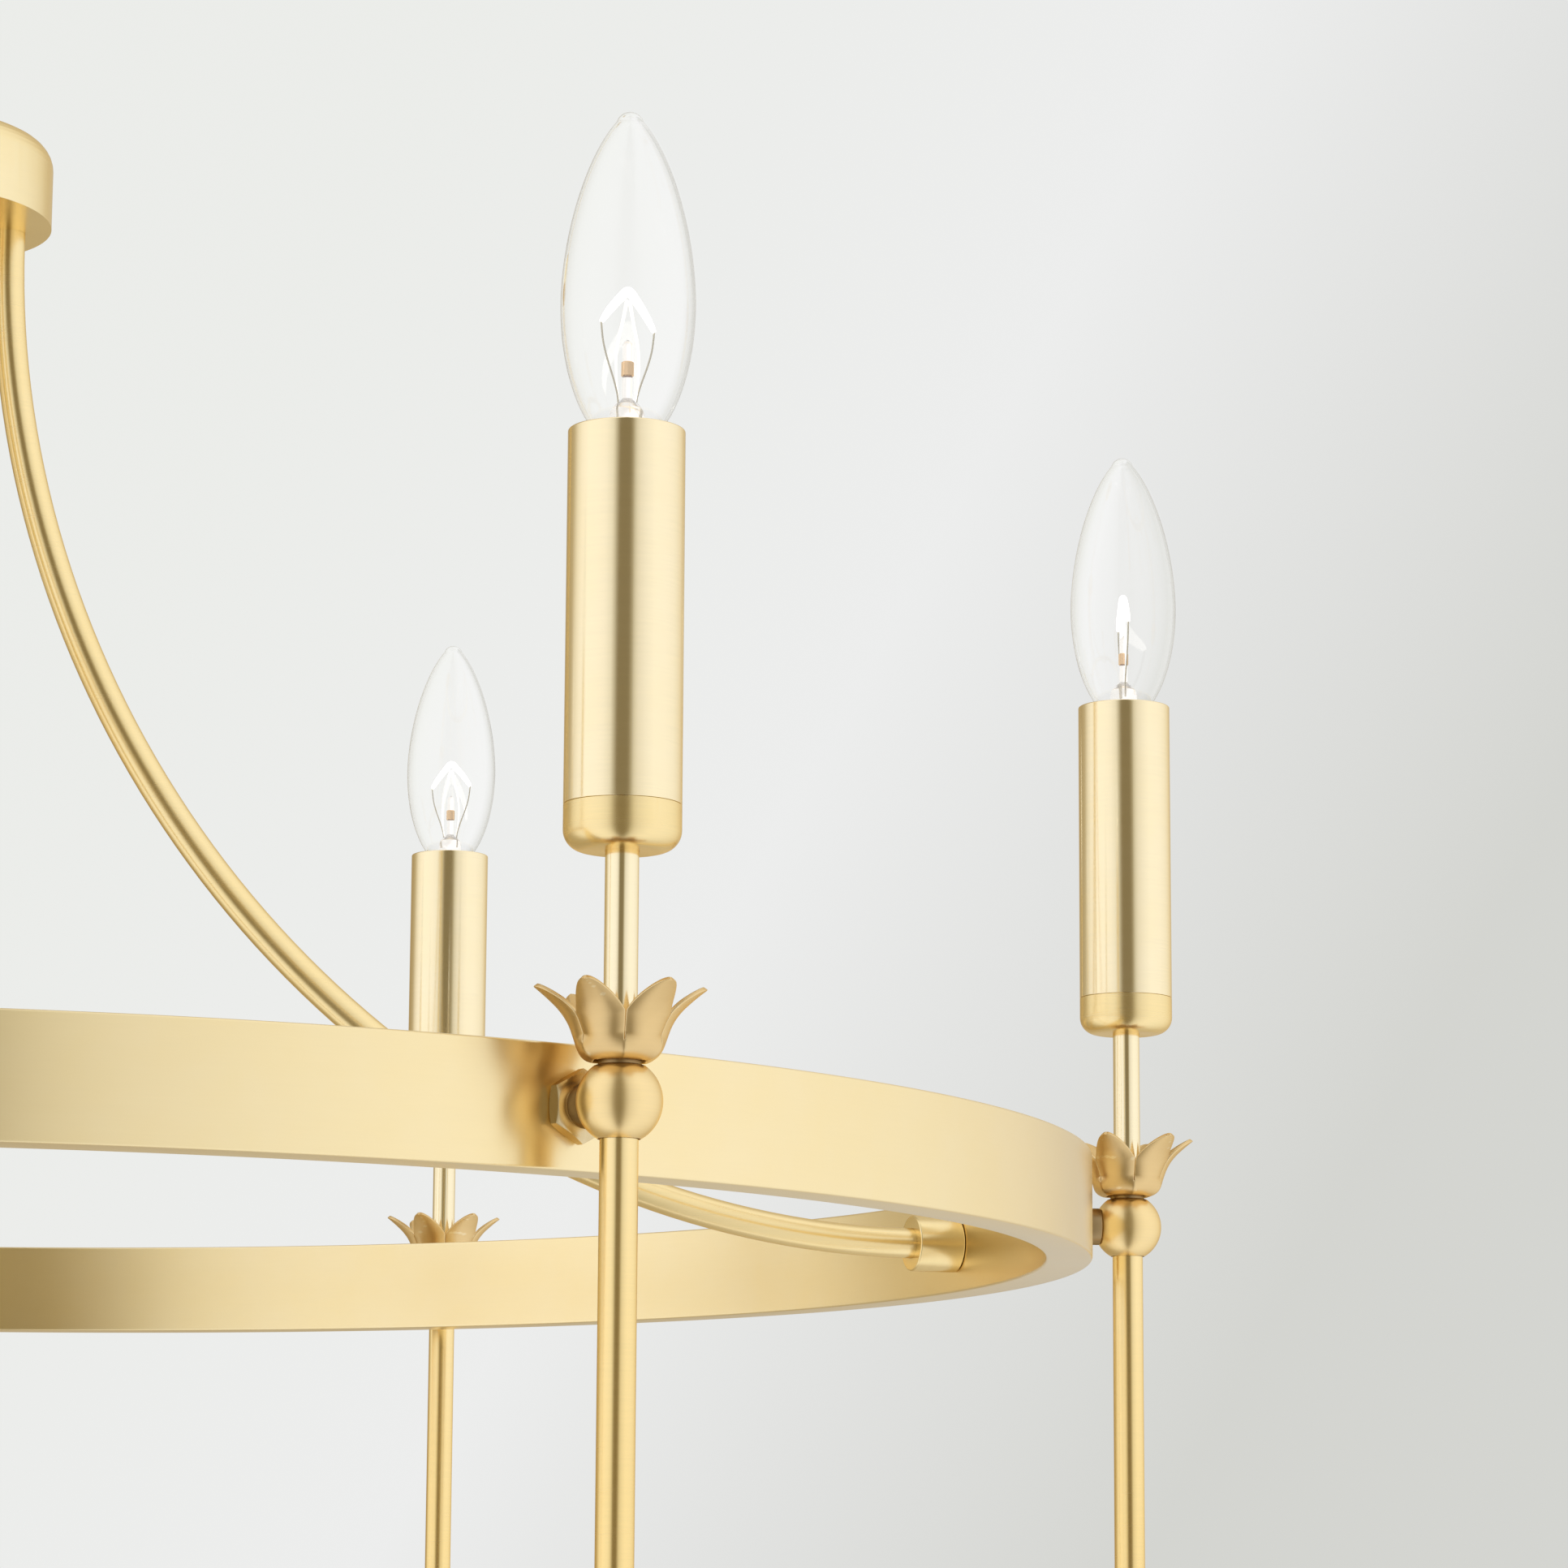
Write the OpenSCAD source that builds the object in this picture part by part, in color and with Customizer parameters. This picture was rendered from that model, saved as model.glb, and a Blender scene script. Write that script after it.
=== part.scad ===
// Six-candle ring chandelier on a swivelling downrod.
// The origin is the centre of the mounting strap on the ceiling plane, +Z is up, sizes are in mm.

/* [Overall] */
// Drop from the ceiling to the middle of the ring
ring_drop = 700; // [620:5:1200]
// Outside diameter of the ring
ring_d = 711; // [580:1:860]
// Height of the ring's flat bar
ring_h = 30; // [22:1:40]
// Thickness of the ring's flat bar
ring_t = 13.5; // [12:0.1:18]
// Straight drop of each lower arm below the ring
arm_drop = 120; // [60:1:200]
// Radius at which a lower arm levels out
arm_level_r = 79; // [60:1:120]
// Radius of the circle on which the inner arms enter the top hub
hub_circle_r = 30; // [24:1:40]
// Angle from a candle arm to the next inner arm
inner_arm_offset = 12.9; // [8:0.1:52]

/* [Ceiling mount] */
// Outside diameter of the canopy
canopy_d = 140; // [130:1:180]
// Height of the canopy
canopy_h = 24; // [18:1:40]
// Wall of the canopy
canopy_wall = 1.6; // [1:0.1:3]
// Rounding of the canopy's lower edge
canopy_round = 8; // [3:0.5:10]
// Length of the mounting strap
strap_l = 112; // [108:1:120]
// Width of the mounting strap
strap_w = 20; // [18:1:26]
// Thickness of the mounting strap
strap_t = 2.5; // [2:0.1:4]
// Distance between the strap's two screw slots
slot_spacing = 88.9; // [80:0.1:92]
// Length of a screw slot
slot_l = 12; // [8:0.5:14]
// Width of a screw slot
slot_w = 4.6; // [4:0.1:6]
// Outside diameter of the threaded nipple
nipple_d = 9.9; // [9:0.1:12]
// Bore of the nipple
nipple_bore = 7; // [5:0.1:7.5]
// Width across the flats of the nipple's nuts
nipple_nut_af = 16; // [15:0.5:20]
// Thickness of the nipple's nuts
nipple_nut_h = 3; // [2:0.1:5]

/* [Swivel and downrod] */
// Diameter of the swivel's ball
swivel_ball_d = 18; // [17.6:0.1:24]
// Wall of the swivel's housing
housing_wall = 3.9; // [2:0.1:6]
// Thinnest wall of the nylon seat
seat_wall = 1.9; // [1:0.1:4]
// Height of the nylon seat
seat_h = 7; // [6:0.1:7.5]
// Depth of the nipple's thread in the swivel's cap
cap_h = 10; // [8:0.5:16]
// Diameter of the ball's stem
stem_d = 10; // [8.4:0.1:12]
// Largest tilt of the downrod
tilt_max = 15; // [5:1:16]
// Wall of the downrod
downrod_wall = 1.45; // [1:0.05:3]
// Wall of the couplings on the downrod
coupling_wall = 3.45; // [2:0.05:6]
// Length of a coupling
coupling_l = 12; // [8:0.5:16]
// Diameter of the supply lead
lead_d = 5; // [3:0.1:5.5]

/* [Hubs and column] */
// Rim of the top hub outside the inner arms' holes
top_hub_rim = 7.25; // [4:0.05:20]
// Height of the top hub
top_hub_h = 26; // [22:1:40]
// Outside diameter of the centre column
column_d = 16; // [13:0.1:20]
// Wall of the centre column
column_wall = 2; // [1.2:0.1:2.5]
// Outside diameter of the bottom hub
bottom_hub_d = 56; // [52:1:80]
// Height of the bottom hub above its arm holes
bottom_hub_up = 16; // [12:1:24]
// Height of the bottom hub below its arm holes
bottom_hub_down = 12; // [10:1:20]
// Wall of the bottom hub
bottom_hub_wall = 6; // [4:0.5:8]
// Thickness of the bottom cover
cover_t = 3; // [2:0.1:5]
// Diameter of the finial's ball
finial_d = 20.4; // [18:0.1:30]

/* [Arms] */
// Diameter of the lower arms
arm_d = 9.1; // [8.5:0.1:12]
// Bore of the lower arms
arm_bore = 5; // [4:0.1:6]
// Diameter of the inner arms
inner_arm_d = 9.5; // [8.5:0.1:12]
// Straight length of an inner arm at the ring
inner_straight = 18; // [16:1:40]
// Diameter of the collar at the ring end of an inner arm
inner_collar_d = 17.5; // [15:0.1:24]
// Length of that collar
inner_collar_l = 15; // [8:0.5:16]
// Diameter of the ball at each candle
ball_d = 20.4; // [17:0.1:26]
// Depth of the ball's flat towards the ring
ball_side_cut = 1.7; // [1:0.1:2.5]
// Depth of the ball's flat under the crown
ball_top_cut = 1.8; // [1:0.1:2.5]
// Depth of the ball's flat above the arm
ball_bottom_cut = 1.1; // [1:0.1:2.5]
// Diameter of the threaded studs in the ring
stud_d = 6; // [5:0.1:6.5]
// Depth of a stud in the ring
stud_depth = 10; // [6:0.5:11]
// Width across the flats of the nuts on the ring
ring_nut_af = 15.5; // [13:0.1:20]
// Thickness of the nuts on the ring
ring_nut_h = 4; // [3:0.1:6]
// Diameter of the spacer between nut and ball
spacer_d = 11; // [9:0.1:14]
// Length of the spacer between nut and ball
spacer_l = 5; // [2:0.1:12]
// Diameter of the wires in the arms
wire_d = 3; // [2:0.1:3.4]

/* [Candles] */
// Outside diameter of a candle's sleeve and cup
sleeve_d = 28; // [26:0.1:34]
// Wall of the sleeve
sleeve_wall = 1; // [0.6:0.1:1.5]
// Height of the sleeve's top above the middle of the ring
sleeve_top = 160; // [150:1:220]
// Height of the cup
cup_h = 11; // [8:0.5:16]
// Height of the cup's bottom above the middle of the ring
cup_bottom = 58.7; // [48:0.1:70]
// Rounding of the cup's bottom edge
cup_round = 5; // [2:0.5:6]
// Wall of the cup
cup_wall = 1.5; // [1:0.1:2]
// Diameter of the stem under a cup
candle_stem_d = 8; // [7:0.1:9]
// Bore of that stem
candle_stem_bore = 4.6; // [3.6:0.1:5]
// Diameter of the petal crown's foot
crown_foot_d = 12.4; // [11:0.1:16]
// Diameter of the petal crown over its tips
crown_d = 41; // [36:0.5:50]
// Height of the petal crown
crown_h = 18.7; // [16:0.1:24]
// Wall of the petal crown
crown_wall = 1.2; // [0.8:0.1:2]
// Wall of the socket's body
socket_wall = 3.5; // [2:0.1:4]
// Length of the socket's body
socket_l = 47; // [44:1:54]

/* [Bulbs] */
// Widest diameter of the glass
bulb_d = 32.4; // [28:0.1:36]
// Height of the glass above the sleeve's top
bulb_h = 78.8; // [60:0.1:90]
// Height of its widest place above the sleeve's top
bulb_belly = 31; // [26:0.5:36]
// Wall of the glass
glass_wall = 0.8; // [0.6:0.1:1.2]
// Diameter of the screw base
base_d = 11.8; // [11.4:0.1:12.4]
// Length of the screw base
base_l = 20; // [18:0.5:22]
// Depth of the base's top rim below the sleeve's top
base_sink = 2.5; // [2.1:0.1:4]

/* [Hidden] */
$fn = 96;
candle_count = 6;
inner_count = 3;
petal_count = 6;
candle_step = 360 / candle_count;
inner_step = 360 / inner_count;

// Clearances: a seated or threaded piece, a running piece, and two faces that meet
seat_gap = 0.05;
run_gap = 0.1;
face_gap = 0.05;
// Extra length of a cutting tool, and how far two shapes of one piece reach into each other
cut = 1;
overlap = 0.5;

// Ring and candle places
ring_z = -ring_drop;
ring_r = ring_d / 2;
ring_inner_r = ring_r - ring_t;
ball_side_flat = ball_d / 2 - ball_side_cut;
ball_top_flat = ball_d / 2 - ball_top_cut;
ball_bottom_flat = ball_d / 2 - ball_bottom_cut;
nut_start_r = ring_r + face_gap;
spacer_start_r = nut_start_r + ring_nut_h + face_gap;
candle_r = spacer_start_r + spacer_l + face_gap + ball_side_flat;
stud_grip = ball_side_flat - candle_stem_d / 2;
stud_l = stud_depth + ring_nut_h + spacer_l + 3 * face_gap + stud_grip;
stud_end_room = 0.2;
ball_web = 0.4;
stem_seat_z = stud_d / 2 + ball_web;
rod_seat_z = -stud_d / 2 - ball_web;

// Inner arms and top hub
inner_bend_r = ring_inner_r - inner_straight - hub_circle_r;
inner_bend_top = ring_z + inner_bend_r;
collar_end_r = sqrt(pow(ring_inner_r, 2) - pow(inner_collar_d / 2, 2)) - face_gap;
hub_rise = 4;
top_hub_bottom = inner_bend_top + hub_rise;
top_hub_d = 2 * (hub_circle_r + inner_arm_d / 2 + top_hub_rim);
top_hub_top = top_hub_bottom + top_hub_h;
inner_arm_seat = 14;
column_seat = 12;
downrod_seat = 10;
hub_round = 8;

// Lower arms, bottom hub and finial
arm_bend_r = candle_r - arm_level_r;
arm_bend_top = ring_z - arm_drop;
bottom_hub_z = arm_bend_top - arm_bend_r;
bottom_hub_bottom = bottom_hub_z - bottom_hub_down;
bottom_hub_cavity_r = bottom_hub_d / 2 - bottom_hub_wall;
bottom_hub_plate = 5;
arm_stick_out = 2;
arm_end_r = bottom_hub_cavity_r - arm_stick_out;
column_bore = column_d - 2 * column_wall;
cover_top = bottom_hub_bottom - face_gap;
cover_plug = 3;
column_bottom = cover_top + cover_plug + face_gap;
window_d = 7;
finial_stud_d = column_bore - 2 * seat_gap;
finial_stud_l = 12;
finial_flange_rim = 3.5;
finial_flange_h = 2.5;
finial_neck_r = 4.5;
finial_neck_h = 4;
finial_ball_sink = 0.2;

// Canopy and swivel
canopy_hole_gap = 0.3;
nipple_end_gap = 1;
cap_top = -canopy_h - face_gap;
cap_bottom = cap_top - cap_h;
cap_lip = 3;
ball_head_room = 1;
swivel_z = cap_bottom - ball_head_room - swivel_ball_d / 2;
seat_d = swivel_ball_d + 2 * (run_gap + seat_wall);
housing_floor = swivel_z - seat_h - run_gap;
housing_lip = 2.5;
housing_bottom = housing_floor - housing_lip;
housing_cavity_r = seat_d / 2 + run_gap;
housing_d = 2 * (housing_cavity_r + housing_wall);
tilt_gap = 0.3;
lip_r = stem_d / 2 / cos(tilt_max) + (swivel_z - housing_bottom) * tan(tilt_max) + tilt_gap;
seat_hole_r = stem_d / 2 / cos(tilt_max) + seat_h * tan(tilt_max) + tilt_gap;
coupling_drop = 18;
coupling_top = swivel_z - coupling_drop;
stem_tail = 6;
stem_l = coupling_drop + coupling_l + stem_tail;
lead_room = 1.4;
lead_end_gap = 1;
stem_bore = lead_d + lead_room;
downrod_bore = stem_d + 2 * seat_gap;
downrod_d = downrod_bore + 2 * downrod_wall;
coupling_d = downrod_d + 2 * (seat_gap + coupling_wall);

// Candle
cup_top = cup_bottom + cup_h;
sleeve_bottom = cup_top + face_gap;
sleeve_r = sleeve_d / 2;
sleeve_inner_r = sleeve_r - sleeve_wall;
cup_spigot_r = sleeve_inner_r - seat_gap;
cup_spigot_h = 5;
crown_bottom = ball_top_flat + face_gap;
crown_steps = 16;
// The crown is solid up to this step of its outline
crown_floor_step = 4;
crown_floor_rise = 0.2;
// The petals part in a notch that starts at this share of the crown's height and opens in two slopes
notch_start = 0.7;
notch_bend = 0.9;
notch_end = 1.1;
notch_bend_width = 0.45;
base_top = sleeve_top - base_sink;
base_bottom = base_top - base_l;
base_wall = 0.6;
base_taper = 2.5;
base_floor = 2;
base_contact_r = 2.4;
base_stand = 0.5;
contact_gap = 0.4;
thread_gap = 0.08;
socket_top = base_top - base_stand;
socket_bottom = socket_top - socket_l;
stem_seat = 8;
shell_wall = 0.5;
shell_inner_r = base_d / 2 + thread_gap;
shell_outer_r = shell_inner_r + shell_wall;
shell_floor_top = base_bottom - contact_gap;
shell_bottom = shell_floor_top - shell_wall;
socket_r = shell_outer_r + seat_gap + socket_wall;
neck_r = base_d / 2 - base_wall - run_gap;
neck_l = 8;
wire_room = 0.3;
wire_end_drop = 2;
splice_gap = 1.5;
glass_shoulder = 0.6;
// The lower outline of the glass is part of an ellipse that closes this far below the sleeve's top
bulb_foot = 4.4;
bulb_low = bulb_belly + bulb_foot;
// The upper outline is a power curve: how square its shoulder is and how blunt its tip
glass_square = 1.8;
glass_blunt = 0.67;
glass_steps = 20;
glass_crowding = 1.5;
glass_tip_r = 0.3;

// Points of a quarter-round corner about a centre, from one angle to another
function arc(x, y, r, from, to, steps = 8) =
    [for (i = [0 : steps]) let (a = from + (to - from) * i / steps) [x + r * cos(a), y + r * sin(a)]];

// Half-width of the bulb's glass at a height above the sleeve's top
function glass_low_r(h) = bulb_d / 2 * sqrt(1 - pow((bulb_belly - h) / bulb_low, 2));
function glass_high_r(t) = bulb_d / 2 * pow(max(0, 1 - pow(t, glass_square)), glass_blunt);
function glass_r(h) =
    h < bulb_belly ? glass_low_r(h) : glass_high_r((h - bulb_belly) / (bulb_h - bulb_belly));

// Outer edge of the petal crown from its foot (0) to its tips (1): a round bowl, then a flare
bowl_share = 0.33;
bowl_height = 0.3;
flare_power = 2.2;
function crown_r(t) =
    crown_foot_d / 2 + (crown_d - crown_foot_d) / 2 * (bowl_share * sin(90 * min(t / bowl_height, 1))
        + (1 - bowl_share) * pow(t, flare_power));

module at_candle(k) {
    rotate([0, 0, (k - 1) * candle_step]) translate([candle_r, 0, ring_z]) children();
}

module each_candle() {
    for (k = [1 : candle_count]) at_candle(k) children();
}

module at_inner_arm(k) {
    rotate([0, 0, inner_arm_offset + (k - 1) * inner_step]) children();
}

// A cylinder lying along +X from one radius to another
module radial_rod(r, from, to) {
    translate([from, 0, 0]) rotate([0, 90, 0]) cylinder(h = to - from, r = r);
}

// A plain tube standing on its lower end
module tube(r, bore, h) {
    difference() {
        cylinder(h = h, r = r);
        translate([0, 0, -cut]) cylinder(h = h + 2 * cut, r = bore);
    }
}

// A quarter of a bent tube: from straight down at +X to level at the centre line below the centre
module quarter_bend(bend_r, r, bore) {
    rotate([-90, 0, 0]) rotate_extrude(angle = 90) translate([bend_r, 0]) difference() {
        circle(r = r);
        if (bore > 0) circle(r = bore);
    }
}

// The course of a lower arm: straight down, a quarter bend, and level into the bottom hub
module arm_course(r, bore, top, end_r) {
    tube_top = top - arm_bend_top;
    translate([candle_r, 0, arm_bend_top]) difference() {
        cylinder(h = tube_top, r = r);
        if (bore > 0) translate([0, 0, -cut]) cylinder(h = tube_top + 2 * cut, r = bore);
    }
    translate([arm_level_r, 0, arm_bend_top]) quarter_bend(arm_bend_r, r, bore);
    translate([0, 0, bottom_hub_z]) difference() {
        radial_rod(r, end_r, arm_level_r);
        if (bore > 0) radial_rod(bore, end_r - cut, arm_level_r + cut);
    }
}

module hex_nut(af, h, hole) {
    difference() {
        cylinder(h = h, r = af / 2 / cos(30), $fn = 6);
        translate([0, 0, -cut]) cylinder(h = h + 2 * cut, r = hole);
    }
}

module mounting_strap() {
    color("silver") translate([0, 0, -strap_t]) difference() {
        translate([-strap_l / 2, -strap_w / 2, 0]) cube([strap_l, strap_w, strap_t]);
        translate([0, 0, -cut]) cylinder(h = strap_t + 2 * cut, r = nipple_d / 2 + seat_gap);
        for (side = [-1, 1]) translate([side * slot_spacing / 2, 0, -cut]) {
            linear_extrude(strap_t + 2 * cut) square([slot_l - slot_w, slot_w], center = true);
            for (end = [-1, 1]) translate([end * (slot_l - slot_w) / 2, 0, 0])
                cylinder(h = strap_t + 2 * cut, r = slot_w / 2);
        }
    }
}

module canopy_nipple() {
    nipple_l = canopy_h + cap_h - nipple_end_gap;
    color("silver") translate([0, 0, -nipple_l]) tube(nipple_d / 2, nipple_bore / 2, nipple_l);
}

module nipple_nuts() {
    hole = nipple_d / 2 + seat_gap;
    color("silver") {
        translate([0, 0, -strap_t - face_gap - nipple_nut_h]) hex_nut(nipple_nut_af, nipple_nut_h, hole);
        translate([0, 0, -canopy_h + canopy_wall + face_gap]) hex_nut(nipple_nut_af, nipple_nut_h, hole);
    }
}

module canopy() {
    r = canopy_d / 2;
    inner_round = canopy_round - canopy_wall;
    hole = nipple_d / 2 + canopy_hole_gap;
    outer = arc(r - canopy_round, canopy_round - canopy_h, canopy_round, 0, -90);
    inner = arc(r - canopy_round, canopy_round - canopy_h, inner_round, -90, 0);
    floor_edge = [[hole, -canopy_h], [hole, canopy_wall - canopy_h]];
    color("darkgoldenrod") rotate_extrude()
        polygon(concat([[r, 0]], outer, floor_edge, inner, [[r - canopy_wall, 0]]));
}

// The cap takes the nipple's thread, and the housing screws up over its lip
module swivel_cap() {
    color("darkgoldenrod") difference() {
        union() {
            translate([0, 0, cap_bottom + cap_lip]) cylinder(h = cap_h - cap_lip, r = housing_d / 2);
            translate([0, 0, cap_bottom]) cylinder(h = cap_lip + cut, r = housing_cavity_r - seat_gap);
        }
        translate([0, 0, cap_bottom - cut]) cylinder(h = cap_h + 2 * cut, r = nipple_d / 2 + seat_gap);
    }
}

module swivel_housing() {
    top = cap_bottom + cap_lip - face_gap;
    color("darkgoldenrod") difference() {
        translate([0, 0, housing_bottom]) cylinder(h = top - housing_bottom, r = housing_d / 2);
        translate([0, 0, housing_floor]) cylinder(h = top - housing_floor + cut, r = housing_cavity_r);
        translate([0, 0, housing_bottom - cut]) cylinder(h = housing_lip + 2 * cut, r = lip_r);
    }
}

module swivel_seat() {
    color("ivory") difference() {
        translate([0, 0, swivel_z - seat_h]) cylinder(h = seat_h, r = seat_d / 2);
        translate([0, 0, swivel_z]) sphere(r = swivel_ball_d / 2 + run_gap);
        translate([0, 0, swivel_z - seat_h - cut]) cylinder(h = seat_h, r = seat_hole_r);
    }
}

module swivel_ball() {
    r = swivel_ball_d / 2;
    color("silver") difference() {
        union() {
            translate([0, 0, swivel_z]) sphere(r = r);
            translate([0, 0, swivel_z - stem_l]) cylinder(h = stem_l, r = stem_d / 2);
        }
        translate([0, 0, swivel_z - stem_l - cut]) cylinder(h = stem_l + r + 2 * cut, r = stem_bore / 2);
    }
}

// One coupling hides the downrod's upper joint and one stands on the top hub
module rod_couplings() {
    color("darkgoldenrod") for (z = [coupling_top - coupling_l, top_hub_top + face_gap])
        translate([0, 0, z]) tube(coupling_d / 2, downrod_d / 2 + seat_gap, coupling_l);
}

module downrod() {
    bottom = top_hub_top - downrod_seat + face_gap;
    color("darkgoldenrod") translate([0, 0, bottom])
        tube(downrod_d / 2, downrod_bore / 2, coupling_top - bottom);
}

module top_hub() {
    r = top_hub_d / 2;
    crown = arc(r - hub_round, top_hub_top - hub_round, hub_round, 0, 90);
    color("darkgoldenrod") difference() {
        rotate_extrude()
            polygon(concat([[0, top_hub_bottom], [r, top_hub_bottom]], crown, [[0, top_hub_top]]));
        translate([0, 0, top_hub_bottom - cut]) cylinder(h = column_seat + cut, r = column_d / 2 + seat_gap);
        translate([0, 0, top_hub_bottom]) cylinder(h = top_hub_h + cut, r = stem_bore / 2);
        translate([0, 0, top_hub_top - downrod_seat])
            cylinder(h = downrod_seat + cut, r = downrod_d / 2 + seat_gap);
        for (k = [1 : inner_count]) at_inner_arm(k) translate([hub_circle_r, 0, top_hub_bottom - cut])
            cylinder(h = inner_arm_seat + cut, r = inner_arm_d / 2 + seat_gap);
    }
}

module centre_column() {
    top = top_hub_bottom + column_seat - face_gap;
    color("darkgoldenrod") difference() {
        translate([0, 0, column_bottom]) tube(column_d / 2, column_bore / 2, top - column_bottom);
        for (side = [0, 90]) rotate([0, 0, side]) translate([0, 0, bottom_hub_z])
            radial_rod(window_d / 2, -column_d, column_d);
    }
}

module bottom_hub() {
    h = bottom_hub_up + bottom_hub_down;
    color("darkgoldenrod") difference() {
        translate([0, 0, bottom_hub_bottom]) cylinder(h = h, r = bottom_hub_d / 2);
        translate([0, 0, bottom_hub_bottom - cut])
            cylinder(h = h - bottom_hub_plate + cut, r = bottom_hub_cavity_r);
        translate([0, 0, bottom_hub_bottom]) cylinder(h = h + cut, r = column_d / 2 + seat_gap);
        for (k = [1 : candle_count]) rotate([0, 0, (k - 1) * candle_step]) translate([0, 0, bottom_hub_z])
            radial_rod(arm_d / 2 + seat_gap, bottom_hub_cavity_r - cut, bottom_hub_d);
    }
}

module bottom_cover() {
    color("darkgoldenrod") difference() {
        union() {
            translate([0, 0, cover_top - cover_t]) cylinder(h = cover_t, r = bottom_hub_d / 2);
            translate([0, 0, cover_top - cut])
                cylinder(h = cover_plug + cut, r = bottom_hub_cavity_r - seat_gap);
        }
        translate([0, 0, cover_top - cover_t - cut])
            cylinder(h = cover_t + cover_plug + 2 * cut, r = finial_stud_d / 2 + seat_gap);
    }
}

module finial() {
    top = cover_top - cover_t - face_gap;
    neck_top = top - finial_flange_h;
    ball_z = neck_top - finial_neck_h - (1 - finial_ball_sink) * finial_d / 2;
    flange_r = finial_stud_d / 2 + finial_flange_rim;
    stud_top = column_bottom + finial_stud_l;
    color("darkgoldenrod") {
        translate([0, 0, neck_top]) cylinder(h = finial_flange_h, r = flange_r);
        translate([0, 0, ball_z]) cylinder(h = neck_top + overlap - ball_z, r = finial_neck_r);
        translate([0, 0, ball_z]) sphere(r = finial_d / 2);
        translate([0, 0, top - overlap]) cylinder(h = stud_top - top + overlap, r = finial_stud_d / 2);
    }
}

// The supply lead runs down the downrod and the column to the splices in the bottom hub
module main_lead() {
    bottom = column_bottom + finial_stud_l + lead_end_gap;
    color("ivory") translate([0, 0, bottom]) cylinder(h = swivel_z - bottom, r = lead_d / 2);
}

module ring() {
    color("goldenrod") difference() {
        translate([0, 0, ring_z - ring_h / 2]) cylinder(h = ring_h, r = ring_r);
        translate([0, 0, ring_z - ring_h / 2 - cut]) cylinder(h = ring_h + 2 * cut, r = ring_inner_r);
        for (k = [1 : candle_count]) rotate([0, 0, (k - 1) * candle_step]) translate([0, 0, ring_z])
            radial_rod(stud_d / 2 + seat_gap, ring_r - stud_depth - stud_end_room, ring_r + cut);
        for (k = [1 : inner_count]) at_inner_arm(k) translate([0, 0, ring_z])
            radial_rod(stud_d / 2 + seat_gap, ring_inner_r - cut, ring_inner_r + stud_depth + stud_end_room);
    }
}

// Every stud is alike: six hold the candles and three hold the inner arms
module ring_studs() {
    color("silver") {
        for (k = [1 : candle_count]) rotate([0, 0, (k - 1) * candle_step]) translate([0, 0, ring_z])
            radial_rod(stud_d / 2, ring_r - stud_depth, ring_r - stud_depth + stud_l);
        for (k = [1 : inner_count]) at_inner_arm(k) translate([0, 0, ring_z])
            radial_rod(stud_d / 2, ring_inner_r + stud_depth - stud_l, ring_inner_r + stud_depth);
    }
}

module ring_nuts() {
    color("goldenrod") for (k = [1 : candle_count]) rotate([0, 0, (k - 1) * candle_step])
        translate([nut_start_r, 0, ring_z]) rotate([0, 90, 0])
            hex_nut(ring_nut_af, ring_nut_h, stud_d / 2 + seat_gap);
}

module arm_spacers() {
    color("goldenrod") for (k = [1 : candle_count]) rotate([0, 0, (k - 1) * candle_step])
        translate([spacer_start_r, 0, ring_z]) rotate([0, 90, 0])
            tube(spacer_d / 2, stud_d / 2 + seat_gap, spacer_l);
}

// A ball has flats for its spacer, its crown and its arm, and is bored for the wires
module arm_balls() {
    stud_end = stud_grip - ball_side_flat + stud_end_room;
    rod_hole = arm_d / 2 + seat_gap;
    color("goldenrod") each_candle() difference() {
        intersection() {
            sphere(r = ball_d / 2);
            translate([-ball_side_flat, -ball_d, -ball_bottom_flat])
                cube([2 * ball_d, 2 * ball_d, ball_bottom_flat + ball_top_flat]);
        }
        translate([0, 0, -ball_d]) cylinder(h = 2 * ball_d, r = arm_bore / 2);
        translate([0, 0, stem_seat_z]) cylinder(h = ball_d, r = candle_stem_d / 2 + seat_gap);
        translate([0, 0, rod_seat_z - ball_d]) cylinder(h = ball_d, r = rod_hole);
        radial_rod(stud_d / 2 + seat_gap, -ball_d, stud_end);
    }
}

module inner_collars() {
    color("goldenrod") for (k = [1 : inner_count]) at_inner_arm(k)
        translate([collar_end_r - inner_collar_l, 0, ring_z]) rotate([0, 90, 0])
            tube(inner_collar_d / 2, inner_arm_d / 2 + seat_gap, inner_collar_l);
}

// An inner arm sweeps from level at the ring to upright at the top hub
module inner_arm(k) {
    r = inner_arm_d / 2;
    bore = stud_d / 2 + seat_gap;
    bend_x = hub_circle_r + inner_bend_r;
    top = top_hub_bottom + inner_arm_seat - face_gap;
    color("goldenrod") at_inner_arm(k) {
        translate([0, 0, ring_z]) difference() {
            radial_rod(r, bend_x, collar_end_r);
            radial_rod(bore, bend_x - cut, collar_end_r + cut);
        }
        translate([bend_x, 0, inner_bend_top]) rotate([0, 0, 180]) quarter_bend(inner_bend_r, r, bore);
        translate([hub_circle_r, 0, inner_bend_top]) tube(r, bore, top - inner_bend_top);
    }
}

module arm_rod(k) {
    top = ring_z + rod_seat_z - face_gap;
    color("goldenrod") rotate([0, 0, (k - 1) * candle_step])
        arm_course(arm_d / 2, arm_bore / 2, top, arm_end_r);
}

module arm_wires() {
    top = ring_z + socket_bottom + stem_seat - wire_end_drop;
    color("dimgray") for (k = [1 : candle_count]) rotate([0, 0, (k - 1) * candle_step])
        arm_course(wire_d / 2, 0, top, column_d / 2 + splice_gap);
}

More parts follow.
